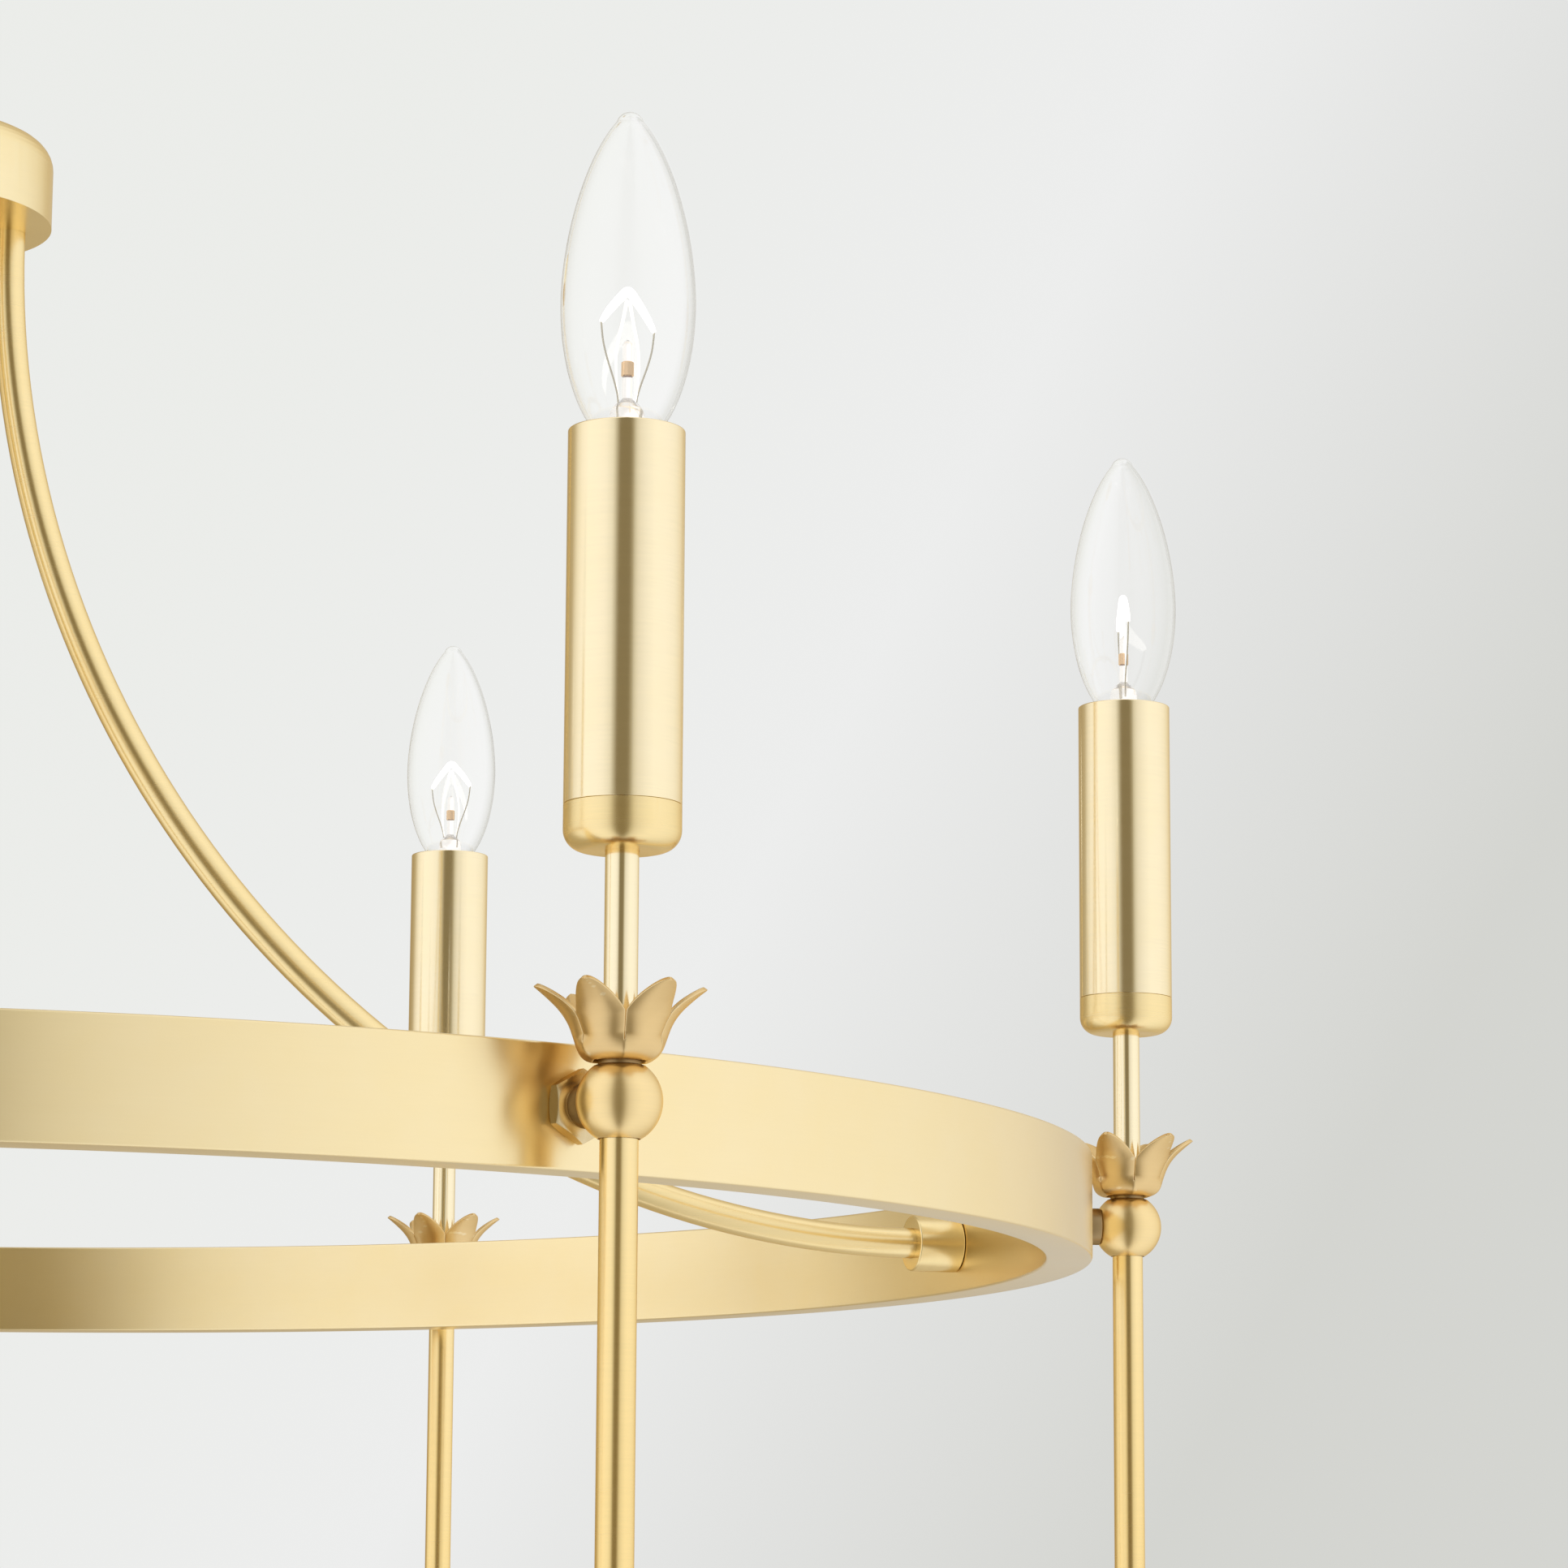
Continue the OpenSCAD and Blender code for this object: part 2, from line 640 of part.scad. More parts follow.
module candle_stems() {
    bottom = stem_seat_z + face_gap;
    top = socket_bottom + stem_seat - face_gap;
    color("goldenrod") each_candle() translate([0, 0, bottom])
        tube(candle_stem_d / 2, candle_stem_bore / 2, top - bottom);
}

module petal_crown(k) {
    outer = [for (i = [0 : crown_steps]) let (t = i / crown_steps) [crown_r(t), crown_bottom + crown_h * t]];
    inner = [for (i = [crown_steps : -1 : crown_floor_step]) let (t = i / crown_steps)
        [crown_r(t) - crown_wall, crown_bottom + crown_h * t + crown_floor_rise]];
    hole = candle_stem_d / 2 + seat_gap;
    floor_z = inner[len(inner) - 1][1];
    tip_r = crown_d / 2;
    half_pitch = tip_r * sin(180 / petal_count);
    bend_x = notch_bend_width * half_pitch;
    start_z = crown_bottom + notch_start * crown_h;
    bend_z = crown_bottom + notch_bend * crown_h;
    end_z = crown_bottom + notch_end * crown_h;
    notch = [[0, start_z], [bend_x, bend_z], [half_pitch, end_z], [-half_pitch, end_z], [-bend_x, bend_z]];
    color("peru") at_candle(k) difference() {
        rotate_extrude() polygon(concat([[hole, crown_bottom]], outer, inner, [[hole, floor_z]]));
        for (i = [0 : petal_count - 1]) rotate([90, 0, (i + 0.5) * 360 / petal_count + 90])
            linear_extrude(2 * tip_r) polygon(notch);
    }
}

module candle_cups() {
    inner_round = cup_round - cup_wall;
    hole = candle_stem_d / 2 + seat_gap;
    spigot_top = cup_top + cup_spigot_h;
    outer = arc(sleeve_r - cup_round, cup_bottom + cup_round, cup_round, -90, 0);
    spigot = [[sleeve_r, cup_top], [cup_spigot_r, cup_top], [cup_spigot_r, spigot_top]];
    inside_top = [[cup_spigot_r - cup_wall, spigot_top], [cup_spigot_r - cup_wall, cup_bottom + cup_round]];
    inside = arc(cup_spigot_r - cup_wall - inner_round, cup_bottom + cup_round, inner_round, 0, -90);
    floor_edge = [[hole, cup_bottom + cup_wall], [hole, cup_bottom]];
    color("goldenrod") each_candle() rotate_extrude()
        polygon(concat(outer, spigot, inside_top, inside, floor_edge));
}

module candle_sleeve(k) {
    color("khaki") at_candle(k) translate([0, 0, sleeve_bottom])
        tube(sleeve_r, sleeve_inner_r, sleeve_top - sleeve_bottom);
}

module socket_bodies() {
    hole = candle_stem_d / 2 + seat_gap;
    floor_z = shell_bottom - face_gap;
    color("ivory") each_candle() difference() {
        translate([0, 0, socket_bottom]) cylinder(h = socket_l, r = socket_r);
        translate([0, 0, floor_z]) cylinder(h = socket_top - floor_z + cut, r = shell_outer_r + seat_gap);
        translate([0, 0, socket_bottom - cut]) cylinder(h = stem_seat + cut, r = hole);
        translate([0, 0, socket_bottom]) cylinder(h = socket_l, r = wire_d / 2 + wire_room);
    }
}

// The screw shell, with its floor contact under the bulb
module socket_shells() {
    color("silver") each_candle() difference() {
        translate([0, 0, shell_bottom]) cylinder(h = socket_top - shell_bottom, r = shell_outer_r);
        translate([0, 0, shell_floor_top]) cylinder(h = socket_top, r = shell_inner_r);
    }
}

module bulb_base(k) {
    r = base_d / 2;
    floor_z = base_bottom + base_taper + base_floor;
    cavity = [[neck_r + run_gap, base_top], [neck_r + run_gap, floor_z], [0, floor_z]];
    outer = [[0, base_bottom], [base_contact_r, base_bottom], [r, base_bottom + base_taper], [r, base_top]];
    color("silver") at_candle(k) rotate_extrude() polygon(concat(outer, cavity));
}

// The glass: a neck in the base, a torpedo outline outside and the same outline inside its wall
module bulb_glass(k) {
    shoulder_r = neck_r + glass_shoulder;
    low = bulb_belly - bulb_low * sqrt(1 - pow(2 * shoulder_r / bulb_d, 2));
    inner_top = bulb_h - 2 * glass_wall;
    // Shares of the height that lie closer together towards the tip
    shares = [for (i = [0 : glass_steps]) 1 - pow(1 - i / glass_steps, glass_crowding)];
    outer = [for (t = shares) let (h = low + (bulb_h - low) * t) [glass_r(h), sleeve_top + h]];
    inner = [for (i = [glass_steps - 1 : -1 : 1]) let (h = low + (inner_top - low) * shares[i])
        [max(glass_r(h) - glass_wall, glass_tip_r), sleeve_top + h]];
    shoulder_z = base_top + face_gap;
    neck_out = [[neck_r, base_top - neck_l], [neck_r, shoulder_z], [shoulder_r, shoulder_z]];
    neck_in = [[neck_r - glass_wall, sleeve_top + low], [neck_r - glass_wall, base_top - neck_l]];
    color([0.95, 0.95, 0.92, 0.4]) at_candle(k) rotate_extrude()
        polygon(concat(neck_out, outer, [[0, sleeve_top + inner_top]], inner, neck_in));
}

mounting_strap();
canopy_nipple();
nipple_nuts();
canopy();
swivel_cap();
swivel_housing();
swivel_seat();
swivel_ball();
rod_couplings();
downrod();
top_hub();
centre_column();
bottom_hub();
bottom_cover();
finial();
main_lead();
ring();
ring_studs();
ring_nuts();
arm_spacers();
arm_balls();
inner_collars();
for (k = [1 : inner_count]) inner_arm(k);
for (k = [1 : candle_count]) arm_rod(k);
arm_wires();
candle_stems();
candle_cups();
socket_bodies();
socket_shells();
for (k = [1 : candle_count]) petal_crown(k);
for (k = [1 : candle_count]) candle_sleeve(k);
for (k = [1 : candle_count]) bulb_base(k);
for (k = [1 : candle_count]) bulb_glass(k);
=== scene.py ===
import math

import bmesh
import bpy
from mathutils import Matrix, Vector


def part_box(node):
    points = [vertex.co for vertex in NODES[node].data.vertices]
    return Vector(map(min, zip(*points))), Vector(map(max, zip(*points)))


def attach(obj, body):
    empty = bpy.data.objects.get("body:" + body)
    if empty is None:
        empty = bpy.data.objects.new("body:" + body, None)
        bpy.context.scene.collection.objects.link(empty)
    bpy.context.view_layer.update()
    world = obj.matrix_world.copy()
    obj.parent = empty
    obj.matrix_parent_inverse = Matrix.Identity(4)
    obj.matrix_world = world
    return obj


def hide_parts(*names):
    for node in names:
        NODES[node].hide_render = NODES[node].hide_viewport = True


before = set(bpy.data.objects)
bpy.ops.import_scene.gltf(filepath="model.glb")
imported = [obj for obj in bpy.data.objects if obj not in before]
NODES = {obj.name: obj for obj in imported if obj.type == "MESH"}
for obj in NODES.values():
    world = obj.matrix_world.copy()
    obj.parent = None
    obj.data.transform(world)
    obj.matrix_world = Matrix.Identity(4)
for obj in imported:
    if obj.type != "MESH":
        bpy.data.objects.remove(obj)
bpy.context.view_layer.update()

MM = 0.001

# ---------------------------------------------------------------- places from the frame
CANDLES = range(1, 7)
INNER_ARMS = range(1, 4)


def middle(node):
    low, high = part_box(node)
    return (low + high) / 2


def rotation_z(angle):
    return Matrix.Rotation(angle, 4, "Z")


RING_LOW, RING_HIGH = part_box("ring")
RING_Z = (RING_LOW.z + RING_HIGH.z) / 2
RING_R = RING_HIGH.x
SLEEVE_LOW, SLEEVE_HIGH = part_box("candle_sleeve_1")
CANDLE_R = middle("candle_sleeve_1").x
SLEEVE_R = (SLEEVE_HIGH.x - SLEEVE_LOW.x) / 2
CANDLE_STEP = 2 * math.pi / len(CANDLES)
INNER_STEP = 2 * math.pi / len(INNER_ARMS)


def candle_frame(k):
    """Local frame of candle k: origin on its axis at the ring's middle height, +X outwards."""
    return rotation_z((k - 1) * CANDLE_STEP) @ Matrix.Translation((CANDLE_R, 0, RING_Z))


# ---------------------------------------------------------------- camera
# Where the photograph was taken from, relative to the middle of the ring
CAMERA_PLACE = Vector((0.0768, -1.4362, -0.1214))
CAMERA_HEADING = math.radians(82.43)
CAMERA_PITCH = math.radians(9.963)
CAMERA_ROLL = math.radians(0.3)
CAMERA_LENS = 110.966

camera_data = bpy.data.cameras.new("camera")
camera_data.lens = CAMERA_LENS
camera_data.sensor_width = 36
camera_data.clip_start = 0.05
camera_data.clip_end = 100
camera = bpy.data.objects.new("camera", camera_data)
bpy.context.scene.collection.objects.link(camera)
camera.matrix_world = (
    Matrix.Translation(CAMERA_PLACE + Vector((0, 0, RING_Z)))
    @ rotation_z(CAMERA_HEADING - math.pi / 2)
    @ Matrix.Rotation(math.pi / 2 + CAMERA_PITCH, 4, "X")
    @ Matrix.Rotation(CAMERA_ROLL, 4, "Z")
)
bpy.context.scene.camera = camera

# ---------------------------------------------------------------- node helpers


class Nodes:
    """A short way to write a node tree: n.add(type, inputs, settings) returns the node."""

    def __init__(self, tree):
        self.tree = tree

    def add(self, kind, inputs=None, **settings):
        node = self.tree.nodes.new(kind)
        for name, value in settings.items():
            setattr(node, name, value)
        for key, value in (inputs or {}).items():
            self.put(node.inputs[key], value)
        return node

    def put(self, socket, value):
        if isinstance(value, bpy.types.NodeSocket):
            self.tree.links.new(value, socket)
        else:
            socket.default_value = value

    def math(self, operation, a, b=0.0, clamp=False):
        return self.add("ShaderNodeMath", {0: a, 1: b}, operation=operation, use_clamp=clamp).outputs[0]

    def noise(self, vector, scale, detail=3.0, rough=0.5):
        inputs = {"Vector": vector, "Scale": scale, "Detail": detail, "Roughness": rough}
        return self.add("ShaderNodeTexNoise", inputs).outputs["Fac"]

    def stretch(self, vector, scale):
        return self.add("ShaderNodeMapping", {"Vector": vector, "Scale": scale}).outputs["Vector"]

    def ramp(self, value, stops, interpolation="LINEAR"):
        node = self.add("ShaderNodeValToRGB", {"Fac": value})
        node.color_ramp.interpolation = interpolation
        elements = node.color_ramp.elements
        while len(elements) > 1:
            elements.remove(elements[-1])
        elements[0].position = stops[0][0]
        elements[0].color = grey(stops[0][1])
        for position, colour in stops[1:]:
            elements.new(position).color = grey(colour)
        return node.outputs["Color"]

    def mix(self, factor, a, b, blend="MIX"):
        node = self.add("ShaderNodeMix", {"Factor": factor}, data_type="RGBA", blend_type=blend)
        self.put(node.inputs["A"], grey(a))
        self.put(node.inputs["B"], grey(b))
        return node.outputs["Result"]


def grey(value):
    """A number as a grey colour and a triple as a colour; a socket or a full colour as it is."""
    if isinstance(value, bpy.types.NodeSocket):
        return value
    if isinstance(value, (int, float)):
        return (value, value, value, 1.0)
    return tuple(value) if len(value) == 4 else (*value, 1.0)


def new_material(name):
    material = bpy.data.materials.new(name)
    material.use_nodes = True
    tree = material.node_tree
    shader = tree.nodes["Principled BSDF"]
    return material, Nodes(tree), shader


# ---------------------------------------------------------------- materials
BRASS = (0.95, 0.78, 0.44)
EDGE_TINT = (0.96, 0.84, 0.62)


def brass(
    name, colour=BRASS, roughness=0.22, grain=1.0, anisotropy=0.55, tangent="uv", dull=0.0, edge=EDGE_TINT
):
    """Satin brass: fine turned lines, soft blotches, and brighter, smoother edges, the brighter colour being
    a painted highlight on convex edges.
    """
    material, n, shader = new_material(name)
    place = n.add("ShaderNodeTexCoord").outputs["Object"]
    lines = n.noise(n.stretch(place, (70, 70, 2600)), 1.0, 4.0, 0.6)
    wide_lines = n.noise(n.stretch(place, (14, 14, 420)), 1.0, 3.0, 0.55)
    blotches = n.noise(place, 38.0, 3.0, 0.6)
    specks = n.noise(place, 900.0, 2.0, 0.7)
    # Convex edges by pointiness: the mask for the painted highlight below and for a smoother finish there
    edges = n.ramp(n.add("ShaderNodeNewGeometry").outputs["Pointiness"], [(0.50, 0.0), (0.58, 1.0)])
    darker = tuple(0.93 * c for c in colour)
    warmer = (colour[0], colour[1] * 0.985, colour[2] * 0.93)
    tint = n.mix(n.ramp(blotches, [(0.35, 0.0), (0.68, 1.0)]), colour, warmer)
    tint = n.mix(n.math("MULTIPLY", n.ramp(lines, [(0.35, 1.0), (0.6, 0.0)]), 0.35 * grain), tint, darker)
    # Painted highlight: convex edges are mixed towards a pale gold
    tint = n.mix(n.math("MULTIPLY", edges, 0.35), tint, (0.99, 0.90, 0.66))
    n.put(shader.inputs["Base Color"], tint)
    shader.inputs["Metallic"].default_value = 1.0
    shader.inputs["Specular Tint"].default_value = grey(edge)
    rough = n.math("MULTIPLY_ADD", wide_lines, 0.10 * grain)
    rough.node.inputs[2].default_value = roughness - 0.05 * grain
    rough = n.math("SUBTRACT", rough, n.math("MULTIPLY", edges, 0.05))
    n.put(shader.inputs["Roughness"], rough)
    height = n.math("ADD", n.math("MULTIPLY", lines, 0.7), n.math("MULTIPLY", specks, 0.3 + dull))
    bump = n.add("ShaderNodeBump", {"Strength": 0.06 * grain + dull, "Distance": 0.00002, "Height": height})
    n.put(shader.inputs["Normal"], bump.outputs["Normal"])
    if anisotropy:
        shader.inputs["Anisotropic"].default_value = anisotropy
        shader.inputs["Anisotropic Rotation"].default_value = 0.25
        if tangent == "uv":
            direction = n.add("ShaderNodeTangent", direction_type="UV_MAP", uv_map="around")
        else:
            direction = n.add("ShaderNodeTangent", direction_type="RADIAL", axis="Z")
        n.put(shader.inputs["Tangent"], direction.outputs["Tangent"])
    return material


def plated_steel():
    material, n, shader = new_material("zinc_plated_steel")
    place = n.add("ShaderNodeTexCoord").outputs["Object"]
    clouds = n.noise(place, 160.0, 4.0, 0.6)
    scratches = n.noise(n.stretch(place, (200, 1800, 1800)), 1.0, 3.0, 0.6)
    n.put(shader.inputs["Base Color"], n.mix(clouds, (0.50, 0.50, 0.47), (0.68, 0.68, 0.66)))
    shader.inputs["Metallic"].default_value = 1.0
    rough = n.math("MULTIPLY_ADD", scratches, 0.25)
    rough.node.inputs[2].default_value = 0.22
    n.put(shader.inputs["Roughness"], rough)
    bump = n.add("ShaderNodeBump", {"Strength": 0.15, "Distance": 0.00005, "Height": scratches})
    n.put(shader.inputs["Normal"], bump.outputs["Normal"])
    return material


def moulded(name, colour, roughness=0.45):
    """Moulded plastic: even colour with a faint mottle and a fine spark-eroded skin."""
    material, n, shader = new_material(name)
    place = n.add("ShaderNodeTexCoord").outputs["Object"]
    mottle = n.noise(place, 120.0, 4.0, 0.6)
    skin = n.noise(place, 2600.0, 2.0, 0.5)
    n.put(shader.inputs["Base Color"], n.mix(mottle, tuple(0.9 * c for c in colour), colour))
    rough = n.math("MULTIPLY_ADD", mottle, 0.12)
    rough.node.inputs[2].default_value = roughness
    n.put(shader.inputs["Roughness"], rough)
    bump = n.add("ShaderNodeBump", {"Strength": 0.2, "Distance": 0.00003, "Height": skin})
    n.put(shader.inputs["Normal"], bump.outputs["Normal"])
    return material


def nickel():
    material, n, shader = new_material("nickel_shell")
    place = n.add("ShaderNodeTexCoord").outputs["Object"]
    stains = n.noise(place, 220.0, 4.0, 0.6)
    n.put(shader.inputs["Base Color"], n.mix(stains, (0.62, 0.58, 0.50), (0.80, 0.77, 0.70)))
    shader.inputs["Metallic"].default_value = 1.0
    rough = n.math("MULTIPLY_ADD", stains, 0.2)
    rough.node.inputs[2].default_value = 0.15
    n.put(shader.inputs["Roughness"], rough)
    return material


def clear_glass(name, tint=(1.0, 1.0, 1.0), painted_glow=0.0, frost=0.0):
    """Blown glass with very faint waves, and a faint painted glow: the glass itself emits a little light,
    for the haze round a glowing filament.
    """
    material, n, shader = new_material(name)
    place = n.add("ShaderNodeTexCoord").outputs["Object"]
    waves = n.noise(n.stretch(place, (60, 60, 25)), 1.0, 2.0, 0.5)
    n.put(shader.inputs["Base Color"], n.mix(waves, tint, tuple(0.985 * c for c in tint)))
    shader.inputs["Transmission Weight"].default_value = 1.0
    shader.inputs["Roughness"].default_value = frost
    shader.inputs["IOR"].default_value = 1.45
    bump = n.add("ShaderNodeBump", {"Strength": 0.12, "Distance": 0.0004, "Height": waves})
    n.put(shader.inputs["Normal"], bump.outputs["Normal"])
    # Painted glow: the glass emits a faint light of its own
    shader.inputs["Emission Color"].default_value = (1.0, 0.97, 0.94, 1.0)
    shader.inputs["Emission Strength"].default_value = painted_glow
    return material


def glowing(name, colour, strength):
    material, n, shader = new_material(name)
    place = n.add("ShaderNodeTexCoord").outputs["Object"]
    flicker = n.noise(place, 900.0, 2.0, 0.5)
    shader.inputs["Base Color"].default_value = grey((0.35, 0.3, 0.25))
    n.put(shader.inputs["Emission Color"], n.mix(flicker, colour, tuple(min(1.0, 1.08 * c) for c in colour)))
    shader.inputs["Emission Strength"].default_value = strength
    return material


SATIN = brass("satin_brass", colour=(0.97, 0.78, 0.42), roughness=0.27)
RING = brass(
    "satin_brass_ring", colour=(0.97, 0.81, 0.49), roughness=0.30, grain=0.35, anisotropy=0.8,
    edge=(1.0, 0.98, 0.95),
)
ROD = brass("satin_brass_rod", colour=(0.98, 0.74, 0.33), roughness=0.27)
TURNED = brass("satin_brass_turned", colour=(0.96, 0.75, 0.40), roughness=0.31, anisotropy=0.3)
SATIN_CAD = brass("satin_brass_machined", tangent="radial", roughness=0.27)
SLEEVE = brass("sleeve_brass", colour=(0.99, 0.86, 0.60), roughness=0.18)
# Painted shade: the nuts' brass is darkened for the shade they sit in between ring and spacer
FIXING_PAINTED_SHADE = brass("satin_brass_fixing_painted_shade", colour=(0.62, 0.46, 0.23), roughness=0.30, anisotropy=0.3)
# Painted shade: a dark brown brass with a dim specular tint, for the tight gaps between ring and ball and
# between ball and petals
PAINTED_SHADE_BRASS = brass(
    "satin_brass_painted_shade", colour=(0.40, 0.27, 0.13), roughness=0.40, anisotropy=0.0, edge=(0.5, 0.4, 0.25)
)
CAST = brass("crown_brass", colour=(0.83, 0.61, 0.31), roughness=0.38, grain=0.6, anisotropy=0.0, dull=0.35)
STEEL = plated_steel()
NYLON = moulded("nylon", (0.84, 0.82, 0.75))
JACKET = moulded("wire_jacket", (0.78, 0.70, 0.52))
SOCKET = moulded("socket_plastic", (0.86, 0.84, 0.78))
NICKEL = nickel()
# Both glasses carry a painted glow, the glass stem's the stronger
GLASS = clear_glass("bulb_glass", painted_glow=0.02)
STEM_GLASS = clear_glass("stem_glass", (1.0, 0.97, 0.96), painted_glow=0.12, frost=0.12)
COPPER = brass("copper_band", colour=(0.80, 0.45, 0.24), roughness=0.3, anisotropy=0.0)
LEAD_WIRE = brass("lead_wire", colour=(0.45, 0.42, 0.38), roughness=0.3, anisotropy=0.0)
FILAMENT = glowing("filament", (1.0, 0.95, 0.88), 2.4)
# The support loop's glow is a painted glow; only the filament is a lamp
SUPPORT_GLOW = glowing("filament_support", (1.0, 0.93, 0.86), 1.25)

# ---------------------------------------------------------------- mesh helpers

def fillets(points, steps=6):
    """A profile from corners (r, z) or (r, z, fillet radius): each marked corner becomes an arc."""
    out = []
    count = len(points)
    for i, corner in enumerate(points):
        radius = corner[2] if len(corner) > 2 else 0.0
        if not radius or i in (0, count - 1):
            out.append(Vector(corner[:2]))
            continue
        here = Vector(corner[:2])
        before = (Vector(points[i - 1][:2]) - here).normalized()
        after = (Vector(points[i + 1][:2]) - here).normalized()
        half = before.angle(after) / 2
        reach = radius / math.tan(half)
        centre = here + (before + after).normalized() * (radius / math.sin(half))
        start, end = here + before * reach, here + after * reach
        a, b = start - centre, end - centre
        turn = a.angle_signed(b)
        for j in range(steps + 1):
            part = turn * j / steps
            c, s = math.cos(part), math.sin(part)
            out.append(centre + Vector((a.x * c + a.y * s, -a.x * s + a.y * c)))
    return [(p.x, p.y) for p in out]


def add_lathe(bm, profile, around=96):
    """Revolves a profile of (r, z) points in millimetres about Z, its last point joined to its first."""
    layer = bm.loops.layers.uv.get("around") or bm.loops.layers.uv.new("around")
    rings = []
    for r, z in profile:
        if r < 1e-6:
            rings.append([bm.verts.new((0, 0, z * MM))])
        else:
            rings.append([
                bm.verts.new((r * MM * math.cos(a), r * MM * math.sin(a), z * MM))
                for a in (2 * math.pi * i / around for i in range(around))
            ])
    pairs = list(zip(rings, rings[1:])) + [(rings[-1], rings[0])]
    for row, (low, high) in enumerate(pairs):
        if len(low) == 1 and len(high) == 1:
            continue
        for i in range(around):
            j = (i + 1) % around
            corners = [(low, i, 0), (low, j, 0), (high, j, 1), (high, i, 1)]
            verts, coords = [], []
            for ring, index, v in corners:
                vert = ring[index] if len(ring) > 1 else ring[0]
                if vert not in verts:
                    verts.append(vert)
                    u = (i if index == i else i + 1) / around
                    coords.append((u, (row + v) / len(pairs)))
            face = bm.faces.new(verts)
            for loop, uv in zip(face.loops, coords):
                loop[layer].uv = uv


def add_sweep(bm, path, radius, around=24):
    """A round bar along points in metres, its radius in millimetres or a function of the way along."""
    layer = bm.loops.layers.uv.get("around") or bm.loops.layers.uv.new("around")
    rings, last = [], None
    count = len(path)
    for i, point in enumerate(path):
        ahead = path[min(i + 1, count - 1)] - path[max(i - 1, 0)]
        ahead.normalize()
        side = last if last is not None else ahead.orthogonal()
        side = (side - ahead * side.dot(ahead)).normalized()
        last = side
        up = ahead.cross(side)
        r = (radius(i / (count - 1)) if callable(radius) else radius) * MM
        rings.append([
            bm.verts.new(point + side * (r * math.cos(a)) + up * (r * math.sin(a)))
            for a in (2 * math.pi * k / around for k in range(around))
        ])
    for row, (low, high) in enumerate(zip(rings, rings[1:])):
        for i in range(around):
            j = (i + 1) % around
            face = bm.faces.new((low[i], low[j], high[j], high[i]))
            for loop, uv in zip(face.loops, ((i, row), (i + 1, row), (i + 1, row + 1), (i, row + 1))):
                loop[layer].uv = (uv[0] / around, uv[1] / count)
    bm.faces.new(rings[0])
    bm.faces.new(list(reversed(rings[-1])))


def arc_points(centre, a, b, count):
    """Points centre + a cos t + b sin t over a quarter turn."""
    return [
        centre + a * math.cos(t) + b * math.sin(t)
        for t in (math.pi / 2 * i / count for i in range(count + 1))
    ]


def shared_mesh(name, bm, material):
    """The finished mesh that several pieces share."""
    mesh = bpy.data.meshes.new(name)
    bmesh.ops.recalc_face_normals(bm, faces=bm.faces)
    bm.to_mesh(mesh)
    bm.free()
    mesh.materials.append(material)
    mesh.shade_smooth()
    mesh.set_sharp_from_angle(angle=math.radians(40))
    return mesh


def put(name, mesh, place, body, stands_for=None):
    piece = bpy.data.objects.new(name, mesh)
    bpy.context.scene.collection.objects.link(piece)
    piece.matrix_world = place
    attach(piece, body)
    if stands_for:
        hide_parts(stands_for)
    return piece


def at_candles(name, bm, material, node, body="fixture", local=None):
    """One copy of a mesh at each candle; {} in the node's and the body's name is the candle's number."""
    mesh = shared_mesh(name, bm, material)
    pieces = []
    for k in CANDLES:
        place = candle_frame(k) @ (local or Matrix.Identity(4))
        stands_for = node.format(k) if node else None
        pieces.append(put(f"{name}_{k}", mesh, place, body.format(k), stands_for))
    return pieces


# Heights below are in millimetres over the middle of the ring, radii from the candle's axis
def over_ring(z):
    return (z - RING_Z) / MM


def heights(node):
    low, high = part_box(node)
    return over_ring(low.z), over_ring(high.z)


SLEEVE_MM = SLEEVE_R / MM
SLEEVE_BOTTOM_H, SLEEVE_TOP_H = heights("candle_sleeve_1")
CUP_BOTTOM_H, CUP_SPIGOT_H = heights("candle_cups")
STEM_BOTTOM_H, STEM_TOP_H = heights("candle_stems")
BALL_TOP_H = heights("arm_balls")[1]
CROWN_BOTTOM_H = heights("petal_crown_1")[0]
BALL_R = (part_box("arm_balls")[1].x - CANDLE_R) / MM
BALL_SIDE = BALL_R - 1.7
STEM_R = 4.0
ROD_R = (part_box("arm_rod_1")[1].x - CANDLE_R) / MM


# ---------------------------------------------------------------- candles
def build_sleeves():
    inner = SLEEVE_MM - 1.0
    profile = fillets([
        (inner, (SLEEVE_BOTTOM_H + SLEEVE_TOP_H) / 2),
        (inner, SLEEVE_BOTTOM_H),
        (SLEEVE_MM, SLEEVE_BOTTOM_H, 0.2),
        (SLEEVE_MM, SLEEVE_TOP_H, 0.45),
        (inner, SLEEVE_TOP_H, 0.4),
        (inner, (SLEEVE_BOTTOM_H + SLEEVE_TOP_H) / 2),
    ])[:-1]
    bm = bmesh.new()
    add_lathe(bm, profile, around=128)
    at_candles("sleeve", bm, SLEEVE, "candle_sleeve_{}")


def build_cups():
    top = SLEEVE_BOTTOM_H - 0.05
    spigot = SLEEVE_MM - 1.05
    inside = spigot - 1.5
    profile = fillets([
        (STEM_R + 0.05, CUP_BOTTOM_H + 1.0),
        (STEM_R + 0.05, CUP_BOTTOM_H, 0.15),
        (SLEEVE_MM, CUP_BOTTOM_H, 5.0),
        (SLEEVE_MM, top, 0.22),
        (spigot, top),
        (spigot, CUP_SPIGOT_H, 0.3),
        (inside, CUP_SPIGOT_H),
        (inside, CUP_BOTTOM_H + 1.5, 3.5),
        (STEM_R + 0.05, CUP_BOTTOM_H + 1.5),
        (STEM_R + 0.05, CUP_BOTTOM_H + 1.0),
    ], steps=10)[:-1]
    bm = bmesh.new()
    add_lathe(bm, profile, around=128)
    at_candles("cup", bm, SATIN, "candle_cups")


